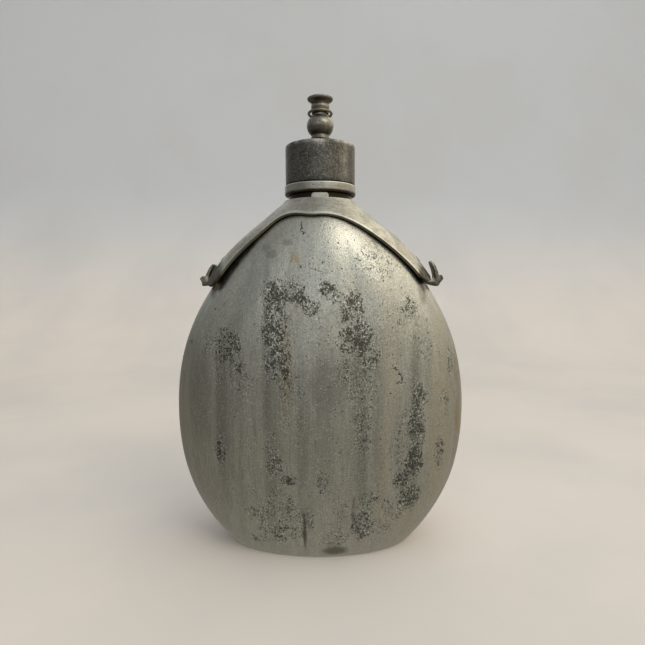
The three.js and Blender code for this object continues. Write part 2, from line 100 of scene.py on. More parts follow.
SHEET = 1.5
SHEET_EDGE_R = 0.25
YOKE_GAP = 0.5
YOKE_LIFT = 1.9
EDGE_HUG = 0.85  # share of that lift that the arms' edges lose
LEFT_FRONT_HUG = 0.15  # the left arm's front edge is bent up, and loses little of it
YOKE_HALF_LENGTH = 56.2
YOKE_HALF_DEPTH = 22.8
ARM_END_HALF_DEPTH = 11.4
ARM_TAPER = 1.6
LEFT_FRONT_HALF_DEPTH = 16.3
ARM_CORNER = 7
YOKE_HOLE_R = 17.1
TAB_WIDTH = 8
TAB_TOP_Z = 183.5
TAB_THICKNESS = 1.1
HOOK_WIDTH = 8
HOOK_STRIP = 1.4
HOOK_LAP = (47.5, 54.8)
HOOK_CROWN = 0.4
SEAT_Z = 141.1
SEAT_START_X = 57.6
RIVET_X = 51.2

STEM_R = 2
STEM_HOLE_R = 2.3
KNOB_DISC_R = 6.65
KNOB_NECK_R = 4.4
BEAD_R = 4.7
BALL_R = 6.95
BALL_Z = 219.6
BALL_SQUASH = 0.9
RING_WIRE_R = 0.75
RING_TILT = -4


# ---- Mesh helpers ----

def smoothstep(value, low, high):
    t = np.clip((value - low) / (high - low), 0, 1)
    return t * t * (3 - 2 * t)


def linked(name, data):
    """A new object in the scene."""
    made = bpy.data.objects.new(name, data)
    bpy.context.scene.collection.objects.link(made)
    return made


def smooth(mesh, angle):
    mesh.shade_smooth()
    mesh.set_sharp_from_angle(angle=math.radians(angle))


def mesh_object(name, vertices, faces, smooth_angle=40):
    mesh = bpy.data.meshes.new(name)
    mesh.from_pydata([tuple(v) for v in np.asarray(vertices, float) * MM], [], faces)
    mesh.validate()
    bm = bmesh.new()
    bm.from_mesh(mesh)
    bmesh.ops.recalc_face_normals(bm, faces=bm.faces)
    bm.to_mesh(mesh)
    bm.free()
    smooth(mesh, smooth_angle)
    return linked(name, mesh)


def loft(name, rings, smooth_angle=40, closed=True):
    """A mesh of rings of points joined in order. Open lofts get a centre point at each end."""
    count = len(rings[0])
    vertices = [point for ring in rings for point in ring]
    bands = len(rings) if closed else len(rings) - 1
    faces = []
    for band in range(bands):
        below = band * count
        above = (band + 1) % len(rings) * count
        for i in range(count):
            j = (i + 1) % count
            faces.append((below + i, below + j, above + j, above + i))
    if not closed:
        for ring, start in ((rings[0], 0), (rings[-1], (len(rings) - 1) * count)):
            centre = len(vertices)
            vertices.append(np.mean(ring, axis=0))
            faces.extend((centre, start + i, start + (i + 1) % count) for i in range(count))
    return mesh_object(name, vertices, faces, smooth_angle)


def circle(radius, z, segments):
    angles = np.arange(segments) * 2 * math.pi / segments
    return np.stack([radius * np.cos(angles), radius * np.sin(angles), np.full(segments, float(z))], axis=1)


def filleted(corners, steps=4):
    """Corners of (radius, z, fillet) as [radius, z] points, with an arc at each fillet."""
    points = []
    count = len(corners)
    for i, corner in enumerate(corners):
        here = np.array(corner[:2], float)
        fillet = corner[2] if len(corner) > 2 else 0
        if fillet == 0 or i in (0, count - 1):
            points.append(here)
            continue
        before = np.array(corners[i - 1][:2], float) - here
        after = np.array(corners[i + 1][:2], float) - here
        before /= np.linalg.norm(before)
        after /= np.linalg.norm(after)
        half = math.acos(np.clip(before @ after, -1, 1)) / 2
        reach = fillet / math.tan(half)
        start, end = here + before * reach, here + after * reach
        centre = here + (before + after) / np.linalg.norm(before + after) * fillet / math.sin(half)
        first = math.atan2(*(start - centre)[::-1])
        sweep = (math.atan2(*(end - centre)[::-1]) - first + math.pi) % (2 * math.pi) - math.pi
        for step in range(steps + 1):
            angle = first + sweep * step / steps
            points.append(centre + fillet * np.array([math.cos(angle), math.sin(angle)]))
    return points


def turned(name, corners, segments=96, smooth_angle=40):
    """A turned piece from a profile that starts and ends on the axis, or closes on itself."""
    on_axis = corners[0][0] == 0
    profile = filleted(corners)[1 if on_axis else 0:-1]
    rings = [circle(r, z, segments) for r, z in profile]
    return loft(name, rings, smooth_angle, closed=not on_axis)


def finish_piece(piece, body, node, material):
    piece.data.materials.clear()
    piece.data.materials.append(material)
    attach(piece, body)
    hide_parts(node)


def vertex_points(piece):
    """The piece's vertices in millimetres, one row each."""
    flat = np.zeros(len(piece.data.vertices) * 3)
    piece.data.vertices.foreach_get("co", flat)
    return flat.reshape(-1, 3) / MM


def store(piece, name, values):
    """Keeps a number from 0 to 1 for each vertex, for the material to read."""
    layer = piece.data.attributes.new(name, "FLOAT", "POINT")
    layer.data.foreach_set("value", np.clip(values, 0, 1).astype(np.float32))


def apply_modifiers(piece, smooth_angle):
    depsgraph = bpy.context.evaluated_depsgraph_get()
    made = bpy.data.meshes.new_from_object(piece.evaluated_get(depsgraph))
    piece.modifiers.clear()
    piece.data = made
    smooth(made, smooth_angle)


# ---- Bottle outline ----

def egg_outline(z, half, lower_reach, upper_reach):
    lower = z < WIDEST_Z
    power = np.where(lower, LOWER_POWER, 2.0)
    reach = np.where(lower, lower_reach, upper_reach)
    return half * np.maximum(1 - (np.abs(z - WIDEST_Z) / reach) ** power, 1e-9) ** (1 / power)


def hermite(z, start, end):
    z0, value0, slope0 = start
    z1, value1, slope1 = end
    span = z1 - z0
    t = (z - z0) / span
    rise = t * t * (3 - 2 * t)
    bend = slope0 * t * (1 - t) ** 2 - slope1 * t * t * (1 - t)
    return value0 * (1 - rise) + value1 * rise + span * bend


def outline(z, half, lower_reach, upper_reach, top_half, slopes):
    z = np.asarray(z, float)
    shoulder = (SHOULDER_Z, egg_outline(SHOULDER_Z, half, lower_reach, upper_reach), slopes[0])
    top = (SHOULDER_TOP_Z, top_half, slopes[1])
    return np.select(
        [z < SHOULDER_Z, z < SHOULDER_TOP_Z, z < NECK_Z],
        [egg_outline(z, half, lower_reach, upper_reach), hermite(z, shoulder, top),
         hermite(z, top, (NECK_Z, NECK_R, 0))],
        NECK_R,
    )


def half_width(z):
    return outline(z, BODY_HALF_WIDTH, LOWER_REACH_X, UPPER_REACH_X, SHOULDER_TOP_X, SHOULDER_SLOPE_X)


def half_depth(z):
    return outline(z, BODY_HALF_DEPTH, LOWER_REACH_Y, UPPER_REACH_Y, SHOULDER_TOP_Y, SHOULDER_SLOPE_Y)


def lobe_strength(z):
    return LOBE_HEIGHT * smoothstep(z, -12, 40) * (1 - smoothstep(z, 130, 172))


def lobe_stations(steps):
    """Directions round the bottle from the front, and the height of the lobe in each, from 0 to 1."""
    quarter = list(LOBE_EDGES)
    half = quarter + [180 - a for a in quarter[::-1]]
    edges = half + [180 + a for a in half]
    angles, heights = [], []
    full = math.sqrt(1 + LOBE_SEAM ** 2) - LOBE_SEAM
    for edge, following in zip(edges, edges[1:] + [edges[0] + 360]):
        for step in range(steps):
            t = step / steps
            angles.append(math.radians(edge + (following - edge) * t))
            heights.append((math.hypot(math.sin(math.pi * t), LOBE_SEAM) - LOBE_SEAM) / full)
    return np.array(angles), np.array(heights)


# ---- Bottle ----

INWARD_SHIFT = 0.15  # keeps the dented skin inside the CAD outline


def dent(point):
    """How far the skin stands out of the true outline: slow waves from years of knocks."""
    slow = noise.noise(Vector(point) * 0.022) * 0.35
    quick = noise.noise(Vector(point) * 0.075 + Vector((9, 4, 2))) * 0.1
    return slow + quick


def build_bottle():
    angles, lobes = lobe_stations(36)

    def ring(z, inset, level=None):
        swell = lobes * lobe_strength(z) - inset
        x = (half_width(z) + swell) * np.sin(angles)
        y = -(half_depth(z) + swell) * np.cos(angles)
        return np.stack([x, y, np.full(len(x), z if level is None else level)], axis=1)

    def knocked(points):
        out = points.copy()
        strength = smoothstep(points[0][2], 0, 14) * (1 - smoothstep(points[0][2], 150, 176))
        for i, point in enumerate(points):
            across = Vector((point[0], point[1] * 3, 0)).normalized()
            out[i][:2] += np.array(across[:2]) * float(strength) * (dent(point) - INWARD_SHIFT)
        return out

    foot = []
    for share in (0.25, 0.5, 0.75, 0.92):
        foot.append(ring(0, FOOT_ROUNDING, 0) * [share, share, 1] + [0, 0, 0.35 * (1 - share ** 4)])
    for step in range(7):
        angle = math.pi / 2 * step / 6
        z = FOOT_ROUNDING * (1 - math.cos(angle))
        foot.append(ring(z, FOOT_ROUNDING * (1 - math.sin(angle)), z))
    outer_z = list(np.linspace(FOOT_ROUNDING + 0.8, 12, 12)) + list(np.linspace(13, 165, 150)) \
        + list(np.linspace(166, NECK_TOP_Z - 0.3, 36))
    outer = [knocked(ring(z, 0)) for z in outer_z]
    lip = [ring(NECK_TOP_Z, 0.3)]
    inner_z = [NECK_TOP_Z, 182, 179, 176, 170, 160, 150, 140, 130, 115, 100, 85, 70, 55, 40, 25, 12, 6]
    inner = [ring(z, WALL) for z in inner_z]
    floor_rings = [ring(3, WALL + 2.2, 2.4), ring(3, WALL + 3, 1.6) * [0.9, 0.9, 1]]
    return loft("bottle_shell", foot + outer + lip + inner + floor_rings, 50, closed=False)


def threaded_ring(root, crest, z, phase, bottom, top, segments):
    """A level ring on a threaded wall: the ridge climbs one pitch each turn and fades out at both ends."""
    angles = np.arange(segments) * 2 * math.pi / segments
    turns = (z - bottom) / THREAD_PITCH - angles / (2 * math.pi) - phase
    off = np.abs(turns - np.round(turns)) * THREAD_PITCH
    ridge = 1 - smoothstep(off, 0.35, 0.9)
    started = smoothstep(z, bottom, bottom + 0.9) * (1 - smoothstep(z, top - 0.9, top))
    return circle(root + (crest - root) * ridge * started, z, segments)


def build_spout():
    segments = 144
    plug_r = NECK_R - WALL - CLEARANCE
    low = SPOUT_LOW[2]
    lip = SPOUT_HIGH[2]
    seat = NECK_TOP_Z + CLEARANCE
    base = filleted([
        (BORE_R, low + 0.3), (BORE_R + 0.3, low, 0), (plug_r - 0.3, low, 0), (plug_r, low + 0.3, 0),
        (plug_r, seat, 0), (NECK_R, seat, 0), (NECK_R, FLANGE_TOP_Z, 0.3), (MALE_ROOT_R, FLANGE_TOP_Z),
    ])
    rings = [circle(r, z, segments) for r, z in base]
    ends = (FLANGE_TOP_Z + 0.4, lip - 0.6)
    for z in np.arange(FLANGE_TOP_Z + THREAD_STEP, lip - 0.7, THREAD_STEP):
        rings.append(threaded_ring(MALE_ROOT_R, MALE_CREST_R, z, 0, *ends, segments))
    edge = filleted([
        (MALE_ROOT_R, lip - 0.7), (MALE_ROOT_R, lip, 0.6), (BORE_R, lip, 0.6), (BORE_R, lip - 0.7),
    ], 5)
    rings += [circle(r, z, segments) for r, z in edge]
    return loft("threaded_spout", rings, 50)


def build_collar():
    inner = NECK_R + CLEARANCE
    radius = COLLAR_HIGH[0]
    low, high = COLLAR_LOW[2], COLLAR_HIGH[2]
    return turned("collar_band", [
        (inner, low), (radius - 0.2, low, 0.9), (radius, low + 1.4, 0.6), (radius, high, 0.35),
        (inner, high, 0.1), (inner, low),
    ], 128, 60)


# ---- Yoke, hooks and rivets ----

def level_step(z, x, y):
    step = 0.2
    slope_x = (half_width(z + step) - half_width(z - step)) / (2 * step)
    slope_y = (half_depth(z + step) - half_depth(z - step)) / (2 * step)
    sideways = x * x / np.maximum(x * x + y * y, 1e-9)
    return np.hypot(1, sideways * slope_x + (1 - sideways) * slope_y)


def height_above(x, y, distance):
    """Height above a point in plan of the surface that stands off the bottle by a distance."""
    x, y = np.asarray(x, float), np.asarray(y, float)
    low = np.full(np.broadcast(x, y).shape, float(WIDEST_Z))
    high = np.full(low.shape, float(NECK_TOP_Z))
    for _ in range(36):
        z = (low + high) / 2
        swell = distance * level_step(z, x, y) + lobe_strength(z)
        inside = (x / (half_width(z) + swell)) ** 2 + (y / (half_depth(z) + swell)) ** 2 < 1
        low = np.where(inside, z, low)
        high = np.where(inside, high, z)
    return low


def sheet_half_depth(x):
    narrowing = (np.abs(x) / YOKE_HALF_LENGTH) ** ARM_TAPER
    return YOKE_HALF_DEPTH - (YOKE_HALF_DEPTH - ARM_END_HALF_DEPTH) * narrowing


def left_front_half_depth(x):
    wide = 1 - smoothstep(np.abs(x), 2, 24)
    return LEFT_FRONT_HALF_DEPTH + (YOKE_HALF_DEPTH - LEFT_FRONT_HALF_DEPTH) * wide


def sheet_gap(x, y):
    """How far the yoke's underside stands off the bottle. The arms arch, so their edges come back down."""
    hug = np.where((x < 0) & (y < 0), LEFT_FRONT_HUG, EDGE_HUG)
    edge = np.minimum(1, (y / sheet_half_depth(x)) ** 2)
    return YOKE_GAP + YOKE_LIFT * smoothstep(np.abs(x), 24, 50) * (1 - hug * edge)


def sheet_point(x, y, further=0.0):
    """A point of the yoke's underside, or of the surface that stands further off the bottle."""
    x, y = np.broadcast_arrays(x, y)
    return np.stack([x, y, height_above(x, y, sheet_gap(x, y) + further)], axis=-1)


def sheet_normal(x, y):
    step = 0.3
    along_x = sheet_point(x + step, y) - sheet_point(x - step, y)
    along_y = sheet_point(x, y + step) - sheet_point(x, y - step)
    normal = np.cross(along_x, along_y)
    return normal / np.linalg.norm(normal, axis=-1, keepdims=True)


def quarter_outline(side, front):
    """One quarter of the sheet's outline in plan, from the middle of an arm's end to the neck."""
    half_depth_at = left_front_half_depth if side < 0 and front else sheet_half_depth
    corner_x = YOKE_HALF_LENGTH - ARM_CORNER
    straight = float(half_depth_at(YOKE_HALF_LENGTH)) - ARM_CORNER
    points = [(YOKE_HALF_LENGTH, y) for y in np.linspace(0, straight, 6)[1:-1]]
    for angle in np.linspace(0, math.pi / 2, 15):
        x = corner_x + ARM_CORNER * math.cos(angle)
        points.append((x, float(half_depth_at(x)) - ARM_CORNER * (1 - math.sin(angle))))
    points += [(x, float(half_depth_at(x))) for x in np.linspace(corner_x, 0, 48)[1:-1]]
    return [(side * x, -y if front else y) for x, y in points]


def yoke_outline():
    """The sheet's outline in plan, anticlockwise from the middle of the right-hand end."""
    return np.array(
        [(YOKE_HALF_LENGTH, 0)] + quarter_outline(1, False)
        + [(0, YOKE_HALF_DEPTH)] + quarter_outline(-1, False)[::-1]
        + [(-YOKE_HALF_LENGTH, 0)] + quarter_outline(-1, True)
        + [(0, -YOKE_HALF_DEPTH)] + quarter_outline(1, True)[::-1]
    )


def build_yoke():
    rim = yoke_outline()
    angles = np.arctan2(rim[:, 1], rim[:, 0])
    hole = np.stack([np.cos(angles), np.sin(angles)], axis=1) * YOKE_HOLE_R

    def plan(t):
        return hole + (rim - hole) * t

    def under(t):
        return sheet_point(*plan(t).T)

    def normal(t):
        return sheet_normal(*plan(t).T)

    def outwards(t, inner):
        direction = under(t) - under(inner)
        return direction / np.linalg.norm(direction, axis=1, keepdims=True)

    def edge(t, inner):
        """Rings round the rounded edge, from the underside to the top."""
        corner = under(t)
        along, up = outwards(t, inner), normal(t)
        made = []
        for first, rise in ((-math.pi / 2, SHEET_EDGE_R), (0, SHEET - SHEET_EDGE_R)):
            for angle in np.linspace(first, first + math.pi / 2, 4):
                sideways = along * SHEET_EDGE_R * (math.cos(angle) - 1)
                made.append(corner + sideways + up * (rise + SHEET_EDGE_R * math.sin(angle)))
        return made

    shares = np.append(np.linspace(0, 1, 26)[1:-1] ** 1.25, [0.972, 0.99])
    rings = [under(t) for t in shares]
    rings += edge(1.0, 0.97)
    rings += [under(t) + normal(t) * SHEET for t in shares[::-1]]
    rings += edge(0.0, 0.03)[::-1]
    sheet = loft("carry_yoke", rings, 60)
    tab = build_tab()
    join = sheet.modifiers.new("tab", "BOOLEAN")
    join.operation = "UNION"
    join.solver = "EXACT"
    join.object = tab
    apply_modifiers(sheet, 50)
    bpy.data.objects.remove(tab)
    paint_yoke(sheet, rim)
    return sheet


def paint_yoke(sheet, rim):
    """Stores where the sheet's cut edge gets painted shade, where its top corner gets a painted highlight,
    and where its ends are painted darker.
    """
    points = vertex_points(sheet)
    x, y, z = points.T
    up = sheet_normal(x, y)
    below = (sheet_point(x, y, SHEET)[:, 2] - z) * up[:, 2]
    foot = points[:, :2] - up[:, :2] * (SHEET - below)[:, None]
    steps = rim[:, None, :] - foot[None, :, :]
    off_rim = np.sqrt((steps ** 2).sum(axis=2).min(axis=0))
    off_hole = np.abs(np.hypot(*foot.T) - YOKE_HOLE_R)
    end_line = 52.2 + 3.5 * np.minimum(y, 0) / 18
    # the arms' ends are painted darker over their last few millimetres
    dark_ends = smoothstep(np.abs(x) - end_line, -0.4, 0.6) * (y < 14)
    # painted shade on the cut edge, which faces the dark lower room
    store(sheet, "edge", (np.minimum(off_rim, off_hole) < 0.9) * smoothstep(below, 0.12, 0.24))
    # painted highlight along the top corner of the rim
    store(sheet, "painted_edge_highlight", (off_rim < 0.7) * (1 - smoothstep(below, 0.05, 0.2)) * (1 - dark_ends))
    store(sheet, "dark_ends", dark_ends)


def build_tab():
    """The upright tab on the front edge of the neck hole, with rounded top corners."""
    inner = NECK_R + 2 * CLEARANCE
    half_angle = TAB_WIDTH / 2 / inner
    bottom = float(sheet_point(0, YOKE_HOLE_R)[2]) + CLEARANCE
    corner = 1.3
    rings = []
    across = 24
    for depth in (inner, inner + 0.15, inner + TAB_THICKNESS - 0.15, inner + TAB_THICKNESS):
        bevel = 0.15 if depth in (inner, inner + TAB_THICKNESS) else 0
        ring = []
        for i in range(across + 1):
            angle = half_angle * (2 * i / across - 1)
            off = max(0.0, abs(angle) * inner - (TAB_WIDTH / 2 - corner))
            top = TAB_TOP_Z - (corner - math.sqrt(max(corner ** 2 - off ** 2, 0))) - bevel
            turn = angle - math.pi / 2
            ring.append((depth * math.cos(turn), depth * math.sin(turn), top))
        for i in range(across, -1, -1):
            turn = half_angle * (2 * i / across - 1) - math.pi / 2
            ring.append((depth * math.cos(turn), depth * math.sin(turn), bottom))
        rings.append(np.array(ring))
    count = len(rings[0])
    vertices = [point for ring in rings for point in ring]
    faces = [tuple(range(count)), tuple(range(3 * count, 4 * count))]
    for below in range(0, 3 * count, count):
        above = below + count
        for i in range(count):
            j = (i + 1) % count
            faces.append((below + i, below + j, above + j, above + i))
    return mesh_object("tab", vertices, faces)


def bezier(start, control, end, steps=8):
    points = []
    for t in np.linspace(0, 1, steps + 1)[1:]:
        shares = ((1 - t) ** 2, 2 * t * (1 - t), t * t)
        points.append(tuple(float(np.dot(shares, c)) for c in zip(start, control, end)))
    return points


def hook_outline(closing):
    """Side view of a hook as (distance from the middle, z). Closing is 0 as made and 1 bent inwards."""
    lap = np.linspace(*HOOK_LAP, 8)

    def under_arm(x, depth):
        return float(sheet_point(x, 0, -CLEARANCE - HOOK_CROWN - depth)[2])

    def bent(x, z, inwards, down):
        return (x - closing * inwards, z - closing * down)

    points = [(lap[0], under_arm(lap[0], HOOK_STRIP * 0.8))]
    points += [(x, under_arm(x, HOOK_STRIP)) for x in lap[1:]]
    points += bezier(points[-1], (56.4, 138.6), (58.4, 138.2))
    points.append((60.6, 137.7))
    points += bezier(points[-1], (62.2, 137.6), bent(62.5, 139.3, 0.8, 0), 5)
    points.append(bent(64.4, 141.6, 1.5, 0))
    points.append(bent(63.4, 143.7, 1.8, 0.8))
    points.append(bent(62, 142.9, 2.1, 0.2))
    points += bezier(points[-1], bent(61.4, 146, 2.5, 0), bent(59.2, 150.2, 2.4, 1.8))
    points += bezier(points[-1], bent(58.4, 151.7, 2.6, 1.9), bent(57.6, 150.3, 2.3, 1.8), 6)
    points += bezier(points[-1], bent(59.7, 146, 2.5, 0), bent(60, 142.6, 1.8, 0))
    points += bezier(points[-1], bent(60, SEAT_Z, 1.6, 0), bent(59.2, SEAT_Z, 1, 0), 5)
    points.append((SEAT_START_X, SEAT_Z))
    points.append((SEAT_START_X - 0.8, SEAT_Z - 0.4))
    points += [(x, under_arm(x, 0)) for x in lap[::-1]]
    return points


def build_hook(name, side, closing):
    points = hook_outline(closing)
    count = len(points)
    vertices = []
    for edge in (-1, 1):
        for x, z in points:
            narrowing = math.sqrt(max(0.0, 1 - (max(0.0, z - 146.5) / 6.2) ** 2))
            vertices.append((side * x, edge * HOOK_WIDTH / 2 * narrowing, z))
    faces = [tuple(range(count)), tuple(range(count, 2 * count))]
    faces += [(i, (i + 1) % count, count + (i + 1) % count, count + i) for i in range(count)]
    hook = mesh_object(name, vertices, faces)
    bevel = hook.modifiers.new("worn_edges", "BEVEL")
    bevel.width = 0.28 * MM
    bevel.segments = 3
    bevel.limit_method = "ANGLE"
    bevel.angle_limit = math.radians(50)
    apply_modifiers(hook, 45)
    return hook


def build_rivet(name, side):
    """A low domed head on the arm, with its shank and the tail under the hook."""
    x = side * RIVET_X
    seat = sheet_point(np.array([x]), np.array([0.0]), SHEET)[0]
    up = Vector(sheet_normal(np.array([x]), np.array([0.0]))[0])
    tail = -(SHEET + CLEARANCE + HOOK_STRIP)
    rivet = turned(name, [
        (0, tail), (1.3, tail, 0.2), (1.3, 0.05, 0), (2, 0.05, 0), (1.9, 0.3, 0.2), (1.2, 0.5, 1.5),
        (0, 0.58),
    ], 40)
    turn = Vector((0, 0, 1)).rotation_difference(up).to_matrix().to_4x4()
    rivet.data.transform(turn)
    for vertex in rivet.data.vertices:
        vertex.co += Vector(seat) * MM
    return rivet


# ---- Cap, seal and washer ----

CAP_CEILING_Z = 204.9
CAP_RIM_DROP = 2.1  # the rim is this much lower than the middle of the domed top


def build_cap():
    segments = 144
    radius = CAP_HIGH[0]
    low, top = CAP_LOW[2], CAP_HIGH[2]
    rim = top - CAP_RIM_DROP
    recess_r, recess_z = WASHER_HIGH[0] + CLEARANCE, WASHER_HIGH[2] + CLEARANCE
    wall = [(radius, z, 0) for z in np.arange(low + 1.5, rim - 1.2, 0.8)]
    outside = filleted([
        (FEMALE_ROOT_R, low + 0.25), (FEMALE_ROOT_R + 0.25, low, 0), (radius - 0.05, low, 0.35), *wall,
        (radius, rim, 0.9), (radius * 0.62, top - 0.7, 30), (6.6, top, 0), (STEM_HOLE_R, top, 0.2),
        (STEM_HOLE_R, recess_z, 0), (recess_r, recess_z, 0), (recess_r, CAP_CEILING_Z, 0),
        (FEMALE_ROOT_R, CAP_CEILING_Z, 0.4), (FEMALE_ROOT_R, CAP_CEILING_Z - 1),
    ])
    rings = [circle(r, z, segments) for r, z in outside]
    ends = (low + 0.3, SEAL_LOW[2] - 0.2)
    phase = 0.5 - (low - FLANGE_TOP_Z - 0.1) / THREAD_PITCH
    for z in np.arange(ends[1], ends[0], -THREAD_STEP):
        rings.append(threaded_ring(FEMALE_ROOT_R, FEMALE_CREST_R, z, phase, *ends, segments))
    return loft("screw_cap", rings, 50)


def build_seal():
    radius = SEAL_HIGH[0]
    low, high = SEAL_LOW[2], SEAL_HIGH[2]
    seal = turned("cork_seal", [
        (0, low), (10, low, 0), (radius, low, 0.35), (radius, high, 0.35), (10, high, 0), (0, high),
    ], 96)
    for vertex in seal.data.vertices:
        vertex.co.z += noise.noise(vertex.co / MM * 0.4) * 0.08 * MM
    return seal


def build_washer():
    radius = WASHER_HIGH[0]
    low, high = WASHER_LOW[2], WASHER_HIGH[2]
    return turned("stem_disc", [
        (STEM_HOLE_R, low), (radius, low, 0.15), (radius, high, 0.15), (STEM_HOLE_R, high, 0),
        (STEM_HOLE_R, low),
    ], 72)


# ---- Knob and loose ring ----

def build_knob():
    low, top = KNOB_LOW[2], KNOB_HIGH[2]
    foot = CAP_HIGH[2] + CLEARANCE
    corners = [
        (0, low), (3.3, low, 0.1), (3.3, low + 0.35, 0.05), (STEM_R, low + 0.35, 0), (STEM_R, foot, 0),
        (6.2, foot, 0.3), (6.2, foot + 0.8, 0.35), (4.9, foot + 1.5, 0.6), (4.75, foot + 2.4, 0.5),
    ]
    for angle in np.radians(np.linspace(-50, 52, 26)):
        corners.append((BALL_R * math.cos(angle), BALL_Z + BALL_R * BALL_SQUASH * math.sin(angle), 0))
    corners += [
        (KNOB_NECK_R, 226.6, 0.3), (KNOB_NECK_R, 227.9, 0.2), (BEAD_R, 228.4, 0.45), (BEAD_R, 229.6, 0.45),
        (KNOB_NECK_R, 230.2, 0.3), (KNOB_NECK_R + 0.3, 231, 0.9), (KNOB_DISC_R - 0.5, 232, 0.6),
        (KNOB_DISC_R, 232.6, 0.3), (KNOB_DISC_R, top - 0.35, 0.25), (KNOB_DISC_R - 0.6, top, 0.3), (0, top),
    ]
    piece = turned("turned_knob", corners, 96, 50)
    for vertex in piece.data.vertices:
        if vertex.co.z > (top - 1.6) * MM:
            nick = noise.noise(vertex.co / MM * 0.9) * 0.22 * MM
            outwards = Vector((vertex.co.x, vertex.co.y, 0))
            if outwards.length > 5.5 * MM:
                vertex.co -= outwards.normalized() * max(nick, 0)
    return piece


def build_ring():
    """The loose wire ring round the knob's neck, a little out of true."""
    radius = RING_HIGH[0] - RING_WIRE_R
    tilt = math.radians(RING_TILT)
    height = (RING_LOW[2] + RING_HIGH[2]) / 2
    rings = []
    for i in range(96):
        angle = 2 * math.pi * i / 96
        out = Vector((math.cos(angle), math.sin(angle), 0))
        wobble = noise.noise(out * 1.3) * 0.14
        thick = RING_WIRE_R * (0.93 + 0.07 * noise.noise(out * 3 + Vector((5, 0, 0))))
        section = []
        for j in range(16):
            turn = 2 * math.pi * j / 16
            point = out * (radius + min(wobble, 0) + thick * math.cos(turn))
            point.z = thick * math.sin(turn)
            y = point.y * math.cos(tilt) - point.z * math.sin(tilt)
            z = point.y * math.sin(tilt) + point.z * math.cos(tilt) + height
            section.append(Vector((point.x, y, z)))
        rings.append(section)
    return loft("loose_ring", rings, 180)


# ---- Material helpers ----

class Nodes:
    """A node tree under construction: the methods add nodes and return sockets."""

    def __init__(self, tree, coordinates):
        self.tree = tree
        self.place = tree.nodes.new("ShaderNodeTexCoord").outputs[coordinates]

    def put(self, socket, value):
        if isinstance(value, bpy.types.NodeSocket):
            self.tree.links.new(value, socket)
        else:
            socket.default_value = value

    def add(self, kind, inputs, **settings):
        """A new node's outputs. Its inputs go by name or number."""
        node = self.tree.nodes.new("ShaderNode" + kind)
        for name, value in settings.items():
            setattr(node, name, value)
        for socket, value in inputs.items():
            self.put(node.inputs[socket], value)
        return node.outputs

    def noise(self, scale, detail=2.0, roughness=0.5, distortion=0.0, place=None):
        return self.add("TexNoise", {
            "Vector": place or self.place, "Scale": scale, "Detail": detail, "Roughness": roughness,
            "Distortion": distortion,
        })["Fac"]

    def grain(self, x, y, z, roughness, detail=3):
        """A noise with its own scale along each axis."""
        place = self.add("Mapping", {"Scale": (x, y, z), "Vector": self.place})["Vector"]
        return self.noise(1.0, detail, roughness, place=place)

    def cells(self, scale, place):
        return self.add("TexVoronoi", {"Vector": place, "Scale": scale}, feature="F1")["Distance"]

    def moved(self, amount, scale):
        """The object's own coordinates, shifted about by a noise."""
        wander = self.add("TexNoise", {"Vector": self.place, "Scale": scale, "Detail": 3})["Color"]
        inputs = {0: wander, 1: (amount, amount, amount), 2: self.place}
        return self.add("VectorMath", inputs, operation="MULTIPLY_ADD")["Vector"]

    def math(self, operation, a, b=0.0, c=0.0):
        return self.add("Math", {0: a, 1: b, 2: c}, operation=operation)["Value"]

    def times(self, a, b):
        return self.math("MULTIPLY", a, b)

    def plus(self, a, b):
        return self.math("ADD", a, b)

    def minus(self, a, b):
        return self.math("SUBTRACT", a, b)

    def most(self, a, b):
        return self.math("MAXIMUM", a, b)

    def least(self, a, b):
        return self.math("MINIMUM", a, b)

    def step(self, value, low, high, start=0.0, end=1.0):
        """A smooth rise from start to end as value goes from low to high."""
        return self.add("MapRange", {
            "Value": value, "From Min": low, "From Max": high, "To Min": start, "To Max": end,
        }, interpolation_type="SMOOTHSTEP")["Result"]

    def fall(self, value, low, high):
        return self.step(value, low, high, 1.0, 0.0)

    def mix(self, share, a, b, mode="MIX"):
        inputs = {"Factor": share, "A": a, "B": b}
        return self.add("Mix", inputs, data_type="RGBA", blend_type=mode)["Result"]

    def vector(self, operation, a, b):
        second = "Scale" if operation == "SCALE" else 1
        result = "Value" if operation in ("DOT_PRODUCT", "DISTANCE") else "Vector"
        return self.add("VectorMath", {0: a, second: b}, operation=operation)[result]

    def lines(self, polylines, half_width, place):
        """1 on lines through (x, z) points in millimetres on the front, and 0 from half_width off them."""
        flat = self.vector("MULTIPLY", place, (1, 0, 1))
        nearest = 1.0
        for points in polylines:
            for start, end in zip(points, points[1:]):
                a = Vector((start[0], 0, start[1])) * MM
                along = Vector((end[0], 0, end[1])) * MM - a
                off = self.vector("SUBTRACT", flat, a)
                share = self.times(self.vector("DOT_PRODUCT", off, along), 1 / along.length_squared)
                share = self.least(self.most(share, 0.0), 1.0)
                foot = self.vector("SCALE", tuple(along), share)
                nearest = self.least(nearest, self.vector("DISTANCE", off, foot))
        front = self.math("LESS_THAN", self.split()[1], 0.0)
        return self.times(front, self.fall(nearest, half_width * 0.5 * MM, half_width * MM))

    def attribute(self, name):
        return self.add("Attribute", {}, attribute_name=name)["Fac"]

    def split(self):
        axes = self.add("SeparateXYZ", {"Vector": self.place})
        return axes["X"], axes["Y"], axes["Z"]


